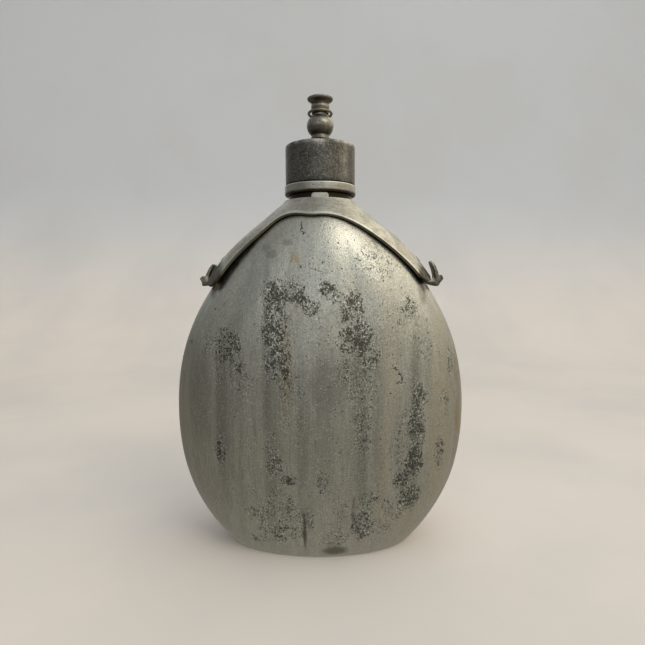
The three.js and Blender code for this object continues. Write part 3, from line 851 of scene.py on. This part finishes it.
class Finish(Nodes):
    """A material under construction. Its colour is built up coat by coat."""

    def __init__(self, name):
        self.material = bpy.data.materials.new(name)
        self.material.use_nodes = True
        super().__init__(self.material.node_tree, "Object")
        self.shader = next(n for n in self.tree.nodes if n.type == "BSDF_PRINCIPLED")

    def ground(self, share, first, second):
        self.color = self.mix(share, (*first, 1), (*second, 1))

    def coat(self, share, color):
        """Lays a colour over what is there, as far as share says."""
        self.color = self.mix(share, self.color, (*color, 1))

    def speckle(self, pattern, low, high, share, color):
        """Lays a colour where a pattern is high."""
        self.coat(self.step(pattern, low, high, 0.0, share), color)

    def finish(self, roughness, metallic=1.0, bumps=()):
        values = {"Base Color": self.color, "Roughness": roughness, "Metallic": metallic}
        normal = None
        for height, strength, distance in bumps:
            inputs = {"Strength": strength, "Distance": distance, "Height": height}
            if normal is not None:
                inputs["Normal"] = normal
            normal = self.add("Bump", inputs)["Normal"]
            values["Normal"] = normal
        for name, value in values.items():
            self.put(self.shader.inputs[name], value)
        return self.material


def grey(value, warmth=0.0):
    return (value * (1 + warmth), value, value * (1 - 1.6 * warmth))


# ---- Materials ----

def bottle_finish():
    """Brushed aluminium gone dull, with dark corrosion, worm-eaten lines, tan films (on the right panel
    partly a painted reflection), stains, painted shade along the lobe seams and a painted shadow round the
    neck.
    """
    f = Finish("worn_bottle_aluminium")
    brushed = f.grain(1700, 1700, 70, 0.6)
    streaks = f.grain(240, 240, 10, 0.55)
    cloudy = f.noise(30, 4, 0.6)
    pepper = f.grain(1150, 1150, 850, 0.62)
    crumbs = f.noise(430, 4, 0.75, 0.4)
    patchy = f.noise(150, 4, 0.65, 0.4)

    f.ground(f.step(streaks, 0.32, 0.68), (0.43, 0.44, 0.395), (0.53, 0.54, 0.485))
    f.speckle(cloudy, 0.35, 0.7, 0.6, (0.5, 0.485, 0.415))
    f.speckle(brushed, 0.45, 0.7, 0.6, (0.32, 0.325, 0.29))
    f.coat(f.step(brushed, 0.28, 0.42, 0.35, 0.0), (0.66, 0.67, 0.62))
    # tan films; on the right panel the tan is partly a painted reflection of the warm right-hand room
    tan_film_and_reflection = f.times(f.attribute("tan"), f.step(streaks, 0.3, 0.6, 0.45, 1.0))
    f.coat(tan_film_and_reflection, (0.51, 0.465, 0.355))
    # painted shade: darker bands along the lobe seams and down the middle in front, random dark blotches
    # behind
    f.coat(f.times(f.attribute("shade"), f.step(streaks, 0.3, 0.6, 0.6, 1.0)), (0.25, 0.25, 0.225))

    spread = f.times(f.attribute("corrosion"), f.step(patchy, 0.28, 0.54, 0.3, 1.0))
    level = f.minus(0.72, f.times(f.math("POWER", spread, 0.8), 0.24))
    pits = f.step(f.minus(pepper, level), -0.03, 0.05)
    blots = f.step(f.minus(crumbs, f.plus(level, 0.015)), -0.03, 0.04)
    veins = f.math("ABSOLUTE", f.minus(f.noise(420, 2, 0.5, 0.6), 0.5))
    vein_where = f.times(f.step(f.noise(210, 2), 0.5, 0.56), f.step(spread, 0.15, 0.45))
    veins = f.times(f.fall(veins, 0.006, 0.022), vein_where)
    drawn = f.lines(WORM_LINES, 0.32, f.moved(0.0055, 520))
    dark = f.most(f.most(pits, blots), f.times(veins, 0.85))
    dark = f.most(f.times(dark, 0.9), drawn)
    flecks = f.times(f.step(f.noise(1300, 2, 0.6), 0.53, 0.6), f.plus(spread, 0.1))

    f.speckle(spread, 0.15, 1.0, 0.6, (0.27, 0.28, 0.25))
    f.coat(f.times(f.attribute("ochre"), f.step(patchy, 0.35, 0.6)), (0.4, 0.28, 0.12))
    f.coat(f.times(flecks, 0.9), (0.88, 0.9, 0.87))
    f.coat(f.times(f.attribute("stain"), f.step(patchy, 0.3, 0.5, 0.6, 1.0)), (0.08, 0.07, 0.05))
    # painted shadow, with some dirt, in the crevice under the collar
    f.coat(f.attribute("painted_neck_shadow"), (0.035, 0.028, 0.02))
    f.coat(f.lines(SCRATCHES, 0.26, f.moved(0.0008, 200)), (0.3, 0.25, 0.18))
    f.coat(dark, (0.058, 0.062, 0.05))
    rough = f.step(streaks, 0.3, 0.7, 0.29, 0.37)
    rough = f.plus(rough, f.times(dark, 0.25))
    rough = f.plus(rough, f.times(tan_film_and_reflection, 0.08))
    metal = f.minus(1.0, f.times(dark, 0.2))
    relief = f.minus(f.times(pepper, f.plus(f.times(spread, 1.3), 0.5)), dark)
    return f.finish(rough, metal, [
        (cloudy, 0.2, 0.0012), (brushed, 0.5, 0.00011), (relief, 0.8, 0.00017),
    ])


def bright_finish(name, light, dark, warmth, rough, wear_scale=60):
    """Bare metal with turned lines round it, mottled scuffing and dark dirt spots."""
    f = Finish(name)
    lines = f.grain(90, 90, 2600, 0.6)
    mottled = f.noise(wear_scale, 5, 0.7, 0.3)
    spots = f.noise(900, 3, 0.7)
    f.ground(f.step(mottled, 0.35, 0.65), grey(light, warmth), grey((light + dark) / 2, warmth * 1.4))
    f.speckle(lines, 0.5, 0.75, 0.4, grey(dark, warmth))
    f.speckle(spots, 0.6, 0.72, 0.7, grey(dark * 0.5, warmth))
    roughness = f.step(mottled, 0.3, 0.7, rough, rough + 0.12)
    return f.finish(roughness, 1.0, [(mottled, 0.1, 0.0005), (lines, 0.2, 0.0001), (spots, 0.25, 0.0001)])


def collar_finish():
    """A painted highlight along its top edge, turned lines, and painted shade with dirt round its lower
    edge.
    """
    f = Finish("collar_aluminium")
    height = f.split()[2]
    lines = f.grain(60, 60, 3200, 0.6)
    mottled = f.noise(130, 4, 0.7, 0.3)
    spots = f.noise(900, 3, 0.7)
    ragged = f.math("MULTIPLY_ADD", mottled, 0.0022, f.minus(height, 0.0011))
    low, high = COLLAR_LOW[2] * MM, COLLAR_HIGH[2] * MM
    f.ground(f.step(mottled, 0.35, 0.65), (0.46, 0.45, 0.4), (0.33, 0.325, 0.285))
    f.speckle(lines, 0.5, 0.7, 0.55, (0.15, 0.145, 0.12))
    f.speckle(spots, 0.6, 0.7, 0.7, (0.09, 0.085, 0.065))
    # painted shade, with dirt, darkening the lower edge
    f.coat(f.fall(ragged, low + 0.0006, low + 0.0019), (0.05, 0.044, 0.034))
    # painted highlight along the top edge
    f.coat(f.step(height, high - 0.0007, high - 0.0002, 0.0, 0.85), (0.72, 0.71, 0.66))
    rough = f.step(mottled, 0.3, 0.7, 0.28, 0.4)
    return f.finish(rough, 1.0, [(lines, 0.25, 0.0001), (spots, 0.3, 0.0001)])


def yoke_finish():
    """Scuffed sheet with fine scratches, a cut edge painted dark as shade, a painted highlight along its
    top corner, and darker ends.
    """
    f = Finish("yoke_aluminium")
    scratches = f.grain(60, 900, 900, 0.65)
    mottled = f.noise(85, 5, 0.7, 0.3)
    spots = f.noise(950, 3, 0.7)
    ragged = f.noise(500, 3, 0.7)
    f.ground(f.step(mottled, 0.35, 0.68), (0.54, 0.53, 0.465), (0.35, 0.342, 0.285))
    f.speckle(scratches, 0.5, 0.7, 0.6, (0.23, 0.222, 0.185))
    f.speckle(spots, 0.57, 0.68, 0.7, (0.11, 0.105, 0.08))
    # painted shade on the cut edge
    edge = f.times(f.attribute("edge"), f.step(ragged, 0.25, 0.6, 1.0, 0.8))
    f.coat(edge, (0.24, 0.235, 0.175))
    # darker, rougher arm ends
    f.coat(f.times(f.attribute("dark_ends"), f.step(ragged, 0.3, 0.65, 1.0, 0.75)), (0.055, 0.048, 0.033))
    # painted highlight along the top corner
    painted_edge_highlight = f.times(f.attribute("painted_edge_highlight"), f.step(mottled, 0.3, 0.6, 1.0, 0.4))
    f.coat(painted_edge_highlight, (0.8, 0.8, 0.75))
    rough = f.plus(f.step(mottled, 0.3, 0.7, 0.3, 0.42), f.times(f.attribute("dark_ends"), 0.15))
    return f.finish(rough, 1.0, [(mottled, 0.12, 0.0006), (scratches, 0.2, 0.0001), (spots, 0.3, 0.0001)])


def knob_finish():
    """Dark turned metal with scuffed brighter turns, and painted shade on the ball's lower half and in the
    grooves under the ring and the disc.
    """
    f = Finish("knob_metal")
    height = f.math("DIVIDE", f.split()[2], MM)
    lines = f.grain(120, 120, 2400, 0.65)
    mottled = f.noise(190, 4, 0.7, 0.4)
    spots = f.noise(1100, 3, 0.7)
    f.ground(f.step(mottled, 0.35, 0.65), (0.37, 0.355, 0.31), (0.2, 0.19, 0.158))
    f.speckle(lines, 0.5, 0.7, 0.5, (0.07, 0.063, 0.05))
    f.speckle(spots, 0.56, 0.68, 0.7, (0.04, 0.036, 0.028))
    ragged = f.math("MULTIPLY_ADD", mottled, 1.6, f.minus(height, 0.8))
    # painted shade: the lower half of the ball, and the grooves under the ring and under the top disc
    painted_knob_shade = f.step(ragged, BALL_Z - 3.5, BALL_Z - 0.5, 0.5, 0.0)
    for low, high in ((225.4, 227.8), (229.9, 232.3)):
        above = f.step(ragged, low - 0.4, low + 0.2)
        inside = f.times(above, f.fall(ragged, high - 0.3, high + 0.2))
        painted_knob_shade = f.most(painted_knob_shade, f.times(inside, 0.8))
    f.coat(painted_knob_shade, (0.07, 0.063, 0.048))
    return f.finish(f.step(mottled, 0.3, 0.7, 0.26, 0.42), 1.0, [
        (mottled, 0.15, 0.0005), (lines, 0.25, 0.0001), (spots, 0.35, 0.00012),
    ])


def hook_finish():
    """Dirty greenish strip, cream at the tongue's scuffed tip, and cream on the seat that is partly
    scuffing and partly a painted highlight where the strip faces up.
    """
    f = Finish("hook_metal")
    sideways, _, upwards = f.split()
    out = f.math("DIVIDE", f.math("ABSOLUTE", sideways), MM)
    height = f.math("DIVIDE", upwards, MM)
    mottled = f.noise(330, 4, 0.7, 0.4)
    spots = f.noise(1000, 3, 0.7)
    f.ground(f.step(mottled, 0.36, 0.64), (0.24, 0.235, 0.185), (0.09, 0.088, 0.066))
    f.speckle(spots, 0.58, 0.7, 0.7, (0.04, 0.038, 0.028))
    # the seat: the strip's upward face, painted cream as a highlight as well as scuffing
    seat = f.times(f.step(out, 56.2, 57.4), f.fall(out, 59.2, 60.2))
    seat = f.times(seat, f.step(height, 139.6, 140.6))
    seat = f.times(seat, f.fall(height, 142.4, 143.4))
    tip = f.times(f.step(height, 147.5, 149.5), f.step(f.noise(260, 2), 0.5, 0.6))
    scuffs_and_highlight = f.times(f.most(seat, tip), f.step(mottled, 0.3, 0.55, 1.0, 0.6))
    f.coat(scuffs_and_highlight, (0.6, 0.57, 0.44))
    rough = f.step(mottled, 0.3, 0.7, 0.34, 0.5)
    return f.finish(rough, 1.0, [(mottled, 0.2, 0.0004), (spots, 0.3, 0.0001)])


def cap_finish():
    """Dark pewter with a fine crosshatch of scratches, pits, edges scuffed bright, and a painted highlight
    as an upright stripe on the right.
    """
    f = Finish("dark_pewter")
    mottled = f.noise(110, 4, 0.65, 0.4)
    hatch = f.grain(260, 260, 2400, 0.7)
    slanted = f.grain(900, 900, 330, 0.7, 2)
    pits = f.noise(1150, 3, 0.72)
    f.ground(f.step(mottled, 0.35, 0.65), (0.07, 0.069, 0.061), (0.112, 0.11, 0.097))
    f.speckle(pits, 0.5, 0.66, 0.75, (0.26, 0.255, 0.225))
    f.speckle(hatch, 0.54, 0.7, 0.45, (0.3, 0.29, 0.255))
    f.speckle(slanted, 0.55, 0.7, 0.3, (0.3, 0.29, 0.26))
    f.coat(f.step(pits, 0.3, 0.42, 0.6, 0.0), (0.03, 0.029, 0.025))
    scuffs_and_highlight = f.times(f.attribute("scuffs_and_painted_highlight"), f.step(pits, 0.3, 0.6, 0.4, 1.0))
    f.coat(scuffs_and_highlight, (0.62, 0.6, 0.54))
    return f.finish(f.step(mottled, 0.3, 0.7, 0.34, 0.46), 1.0, [
        (pits, 0.5, 0.00014), (hatch, 0.35, 0.0001), (slanted, 0.2, 0.0001),
    ])


def cork_finish():
    f = Finish("cork")
    grains = f.cells(520, f.moved(0.002, 400))
    dark = f.step(f.noise(330, 4, 0.7), 0.55, 0.7)
    f.ground(f.step(grains, 0.2, 0.7), (0.52, 0.34, 0.19), (0.36, 0.2, 0.1))
    f.coat(dark, (0.16, 0.085, 0.045))
    return f.finish(0.86, 0.0, [(grains, 0.5, 0.0003), (dark, 0.4, 0.0003)])


# ---- Painted marks ----

# Each patch on the front is (x, z, half width, half height) in millimetres, and its strength.
CORROSION = [
    (-21, 132, 6, 10, 0.9), (-22, 118, 6, 12, 0.95), (-20, 102, 7, 10, 0.95), (-14, 90, 7, 9, 0.6),
    (-9.5, 132.5, 4.5, 4, 1), (-12, 138, 4, 4, 0.6), (-4, 129, 5, 4, 0.7), (3, 137, 4, 3.5, 0.9),
    (8, 133, 5, 4, 0.6), (15, 127, 6, 9, 0.8), (15, 113, 7, 7, 1), (20, 112, 6, 10, 0.9),
    (24, 104, 5, 10, 0.7), (12, 98, 5, 8, 0.6), (17, 88, 5, 10, 0.5), (20, 70, 6, 12, 0.65),
    (6, 77, 4, 5, 0.35), (12, 62, 3, 4, 0.35), (48, 84, 4.5, 8, 0.8), (47, 68, 5, 12, 0.9),
    (46, 52, 5, 9, 1), (40, 44, 5, 6, 0.9), (44, 33, 7, 7, 0.9), (38, 25, 5, 5, 0.5),
    (21, 20, 6, 10, 0.75), (24, 34, 6, 5, 0.6), (33, 30, 4, 5, 0.5), (-45, 110, 7, 9, 0.95),
    (-40, 100, 5, 4, 0.9), (-54, 110, 6, 8, 0.55), (-50, 100, 4, 12, 0.6), (-49, 58, 3, 8, 0.85),
    (-46, 46, 3, 5, 0.4), (-23, 64, 4, 7, 0.5), (-22, 52, 4, 7, 0.8), (-15, 45, 5, 3, 0.9),
    (-15, 33, 2.5, 8, 0.7), (-20, 16, 5, 8, 0.7), (-34, 26, 5, 3.5, 0.6), (-29, 27, 2, 5, 0.6),
    (-32, 10, 5, 3, 0.5), (-5, 24, 2.5, 8, 0.6), (1, 45, 3, 8, 0.6), (62, 80, 3, 8, 0.5),
    (60, 55, 3, 10, 0.6), (66, 100, 2.5, 8, 0.6), (53, 108, 3, 8, 0.4), (43.5, 128, 5, 5, 0.6),
    (38.6, 120.6, 2, 2, 0.7), (28, 150, 14, 12, 0.35), (0, 90, 70, 75, 0.26), (-12, 22, 8, 12, 0.5),
    (8, 14, 8, 8, 0.45), (-26, 18, 6, 10, 0.5), (10, 30, 5, 8, 0.4), (-38, 92, 8, 8, 0.5),
    (-17, 123, 4, 20, 0.6), (-13, 75, 9, 16, 0.35), (22, 88, 6, 22, 0.5), (-38, 70, 8, 14, 0.3),
    (28, 20, 10, 12, 0.4), (-22, 27, 6, 16, 0.5), (2, 62, 14, 18, 0.3), (42, 62, 9, 22, 0.45),
    (48, 116, 8, 12, 0.35),
]
STAINS = [
    (51, 136, 2.2, 6, 0.6), (-54, 137, 2.2, 5, 0.75), (-25.8, 156.4, 2.2, 2, 0.3),
    (-23.1, 153.4, 2.6, 2.2, 0.34), (-15.5, 158.8, 2.4, 1.6, 0.35), (7.5, 4.5, 6, 2.6, 0.7),
    (-7.6, 18, 0.9, 12, 0.85), (16.2, 27, 0.8, 10, 0.6), (-66.2, 109.6, 1.2, 1, 0.5),
]
OCHRE = [
    (-11.4, 151.4, 3, 2.4, 0.9), (-16, 100, 2.6, 22, 0.5), (71, 75, 2.2, 45, 0.6), (-11, 128, 4, 4, 0.2),
]
# Tan films; the long patch on the right panel is partly a painted reflection of the warm room on that side.
TAN_FILM_AND_REFLECTION = [(60, 75, 6, 50, 0.7), (33, 95, 3.5, 28, 0.5), (30, 45, 3.5, 24, 0.5), (40, 20, 12, 8, 0.45)]
# Painted shade: darker upright bands along the lobe seams and down the middle, where the faces turn away
# from the light.
PAINTED_SEAM_SHADE = [
    (-25, 108, 2.2, 40, 0.9), (-24, 45, 2.5, 35, 0.6), (17.5, 108, 2.6, 26, 0.8), (20, 60, 2.6, 40, 0.7),
    (46, 70, 3, 42, 0.8), (-48, 78, 3, 34, 0.6), (-8, 70, 3, 35, 0.35), (5, 92, 9, 12, 0.45),
    (-60, 84, 6, 22, 0.4), (38, 60, 2, 30, 0.3),
]

# Dark worm-eaten lines on the front, each through (x, z) points in millimetres.
WORM_LINES = [
    [(-6.1, 170.9), (-6.5, 168.1), (-5.4, 165.1)],
    [(-14.7, 140), (-12.8, 137.4), (-11.8, 135.1), (-9.5, 135.1)],
    [(-5.7, 133.3), (-4.3, 129.6), (-1.5, 126.8), (0.6, 129)],
    [(-4, 141.1), (-6, 137.9)],
    [(37.5, 103), (40.5, 101), (42.5, 96.5), (39.5, 94.5)],
]
SCRATCHES = [[(-4.8, 147.2), (3.6, 144.6)]]


def paint(piece, name, patches, back_seed):
    """Stores how strong a mark is at each vertex: patches in front and, given a seed, noise behind."""
    points = vertex_points(piece)
    value = np.zeros(len(points))
    for x, z, wide, high, strength in patches:
        near = ((points[:, 0] - x) / wide) ** 2 + ((points[:, 2] - z) / high) ** 2
        value = np.maximum(value, strength * (1 - smoothstep(near, 0.2, 1.9)))
    value *= points[:, 1] < 0
    if back_seed is not None:
        for i in np.nonzero(points[:, 1] > -4)[0]:
            where = Vector((points[i][0] * 0.045 + back_seed, points[i][1] * 0.045, points[i][2] * 0.024))
            amount = noise.noise(where) + 0.5 * noise.noise(where * 2.3)
            behind = smoothstep(points[i][1], -4, 6)
            value[i] = max(value[i], behind * (0.12 + 0.88 * smoothstep(amount, 0.1, 0.55)))
    store(piece, name, value)


def paint_neck_shadow(piece):
    """The crevice between the yoke and the collar is painted near black: its shadow, with some dirt."""
    height = vertex_points(piece)[:, 2]
    store(piece, "painted_neck_shadow", smoothstep(height, 176.5, 179))


def paint_cap_scuffs_and_highlight(piece):
    """Scuffed edges: the rim of the cap, more at the front; and a painted highlight, an upright stripe on
    the right.
    """
    rim = CAP_HIGH[2] - CAP_RIM_DROP
    values = []
    for vertex in piece.data.vertices:
        x, y, z = (c / MM for c in vertex.co)
        r = math.hypot(x, y)
        top = smoothstep(r, CAP_HIGH[0] - 1.6, CAP_HIGH[0] - 0.7)
        top *= 1 - smoothstep(abs(z - rim + 0.4), 0.3, 1.3)
        turn = noise.noise(Vector((x, y, z)) * 0.25)
        front = math.exp(-((x + 1.5) / 4) ** 2) * smoothstep(-y, 8, 16)
        front *= smoothstep(z, rim - 4.5, rim - 0.5)
        # painted highlight: a warm upright stripe on the right side of the cap
        stripe = 0.32 * math.exp(-((math.degrees(math.atan2(x, -y)) - 42) / 8) ** 2) * (0.8 + turn)
        values.append(top * (0.35 + turn) + 0.9 * front * (0.6 + turn) + stripe)
    store(piece, "scuffs_and_painted_highlight", np.array(values))


# ---- The flask ----

bottle = build_bottle()
for mark, patches, back_seed in (("corrosion", CORROSION, 3.0), ("stain", STAINS, None),
                                 ("ochre", OCHRE, None), ("tan", TAN_FILM_AND_REFLECTION, 11.0), ("shade", PAINTED_SEAM_SHADE, 6.0)):
    paint(bottle, mark, patches, back_seed)
paint_neck_shadow(bottle)
finish_piece(bottle, "bottle", "body_shell", bottle_finish())

spout_metal = bright_finish("turned_aluminium", 0.55, 0.3, 0.03, 0.3)
yoke_metal = yoke_finish()
hook_metal = hook_finish()
ring_metal = bright_finish("ring_wire", 0.3, 0.1, 0.12, 0.35, 160)

finish_piece(build_spout(), "bottle", "mouthpiece", spout_metal)
finish_piece(build_collar(), "bottle", "collar_ring", collar_finish())
finish_piece(build_yoke(), "bottle", "yoke", yoke_metal)
finish_piece(build_hook("hook_left", -1, 1), "bottle", "strap_hook_left", hook_metal)
finish_piece(build_hook("hook_right", 1, 0), "bottle", "strap_hook_right", hook_metal)
finish_piece(build_rivet("rivet_left", -1), "bottle", "hook_rivet_left", yoke_metal)
finish_piece(build_rivet("rivet_right", 1), "bottle", "hook_rivet_right", yoke_metal)

cap = build_cap()
paint_cap_scuffs_and_highlight(cap)
finish_piece(cap, "cap", "cap_shell", cap_finish())
finish_piece(build_knob(), "cap", "knob", knob_finish())
finish_piece(build_washer(), "cap", "stem_washer", spout_metal)
finish_piece(build_ring(), "ring", "chain_ring", ring_metal)
finish_piece(build_seal(), "seal", "sealing_disc", cork_finish())


# ---- Stage, light and camera ----

def build_stage():
    """A pale floor that sweeps up into a light grey wall."""
    front, back, wall, bend = 1.2, 0.75, 1.6, 0.35
    profile = [(-front, 0.0), (back - bend, 0.0)]
    for angle in np.linspace(0, math.pi / 2, 16)[1:]:
        profile.append((back - bend + bend * math.sin(angle), bend * (1 - math.cos(angle))))
    profile.append((back, wall))
    across = 1.8
    vertices = [(x, y, z) for y, z in profile for x in (-across, across)]
    faces = [(2 * i, 2 * i + 1, 2 * i + 3, 2 * i + 2) for i in range(len(profile) - 1)]
    mesh = bpy.data.meshes.new("pale_floor")
    mesh.from_pydata(vertices, [], faces)
    mesh.shade_smooth()
    floor = linked("pale_floor", mesh)
    f = Finish("pale_paper")
    height = f.split()[2]
    f.ground(f.step(height, 0.01, 0.32), (0.85, 0.785, 0.72), (0.665, 0.69, 0.725))
    f.coat(f.step(f.noise(6, 4), 0.35, 0.7, 0, 0.35), (0.6, 0.6, 0.6))
    mesh.materials.append(f.finish(0.9, 0.0))
    floor.visible_glossy = False  # the metal mirrors the world's light there, not the paper


def area_light(name, place, aim, size, power, color):
    data = bpy.data.lights.new(name, "AREA")
    data.shape = "RECTANGLE"
    data.size, data.size_y = size
    data.energy = power
    data.color = color
    light = linked(name, data)
    light.location = place
    light.rotation_mode = "QUATERNION"
    light.rotation_quaternion = (Vector(aim) - Vector(place)).to_track_quat("-Z", "Y")
    return light


def build_lights():
    """A warm key on the right, and a ceiling light for the paper that the metal doesn't mirror."""
    area_light("key", (0.45, -0.6, 0.85), (0, 0, 0.12), (0.5, 0.4), 1.2, (1.0, 0.95, 0.86))
    wash = area_light("ceiling", (0.2, -0.1, 1.5), (0.05, 0.1, 0), (1.2, 1.0), 3.6, (0.86, 0.94, 1.0))
    wash.visible_glossy = False


# Brightness of the room by the sine of the direction's elevation, on three sides of the flask.
ROOM_LEFT = [
    (-1, 0.27), (-0.15, 0.2), (0, 0.17), (0.12, 0.22), (0.3, 0.32), (0.5, 0.36), (0.8, 0.26), (1, 0.4),
]
ROOM_FRONT = [
    (-1, 0.37), (-0.12, 0.21), (0, 0.26), (0.1, 0.92), (0.18, 1.08), (0.3, 0.78), (0.6, 0.7), (1, 0.5),
]
ROOM_RIGHT = [
    (-1, 0.38), (-0.12, 0.38), (0, 0.42), (0.12, 0.58), (0.3, 0.84), (0.5, 1.4), (0.7, 1.5), (1, 0.5),
]


def build_world():
    """Soft room light: dim level with the flask and below, bright above, warmest on the right."""
    world = bpy.data.worlds.new("soft_room")
    bpy.context.scene.world = world
    world.use_nodes = True
    room = Nodes(world.node_tree, "Generated")
    sideways, _, upwards = room.split()

    def ramp(levels):
        node = room.tree.nodes.new("ShaderNodeValToRGB")
        node.color_ramp.interpolation = "EASE"
        room.put(node.inputs["Fac"], room.math("MULTIPLY_ADD", upwards, 0.5, 0.5))
        stops = node.color_ramp.elements
        for _ in levels[2:]:
            stops.new(0.5)
        for stop, (height, level) in zip(stops, levels):
            stop.position = (height + 1) / 2
            stop.color = (level, level, level, 1)
        return node.outputs["Color"]

    light = room.mix(room.step(sideways, -0.85, -0.05), ramp(ROOM_LEFT), ramp(ROOM_FRONT))
    light = room.mix(room.step(sideways, 0.1, 0.75), light, ramp(ROOM_RIGHT))
    tint = room.mix(room.step(upwards, -0.1, 0.15), (1.09, 1, 0.87, 1), (0.99, 1, 0.99, 1))
    tint = room.mix(room.step(sideways, 0.1, 0.7), tint, (1.09, 1, 0.84, 1))
    background = world.node_tree.nodes["Background"]
    room.put(background.inputs["Color"], room.mix(1.0, light, tint, "MULTIPLY"))
    background.inputs["Strength"].default_value = 1.0


CAMERA_PLACE = (0.00117, -0.258, 0.1435)
CAMERA_PITCH = 5.594
CAMERA_LENS = 27.07


def build_camera():
    data = bpy.data.cameras.new("camera")
    data.lens = CAMERA_LENS
    data.sensor_width = 36
    data.clip_start = 0.01
    camera = linked("camera", data)
    camera.location = CAMERA_PLACE
    camera.rotation_euler = (math.radians(90 - CAMERA_PITCH), 0, 0)
    bpy.context.scene.camera = camera


bpy.context.scene.view_settings.view_transform = "Standard"
build_stage()
build_world()
build_lights()
build_camera()
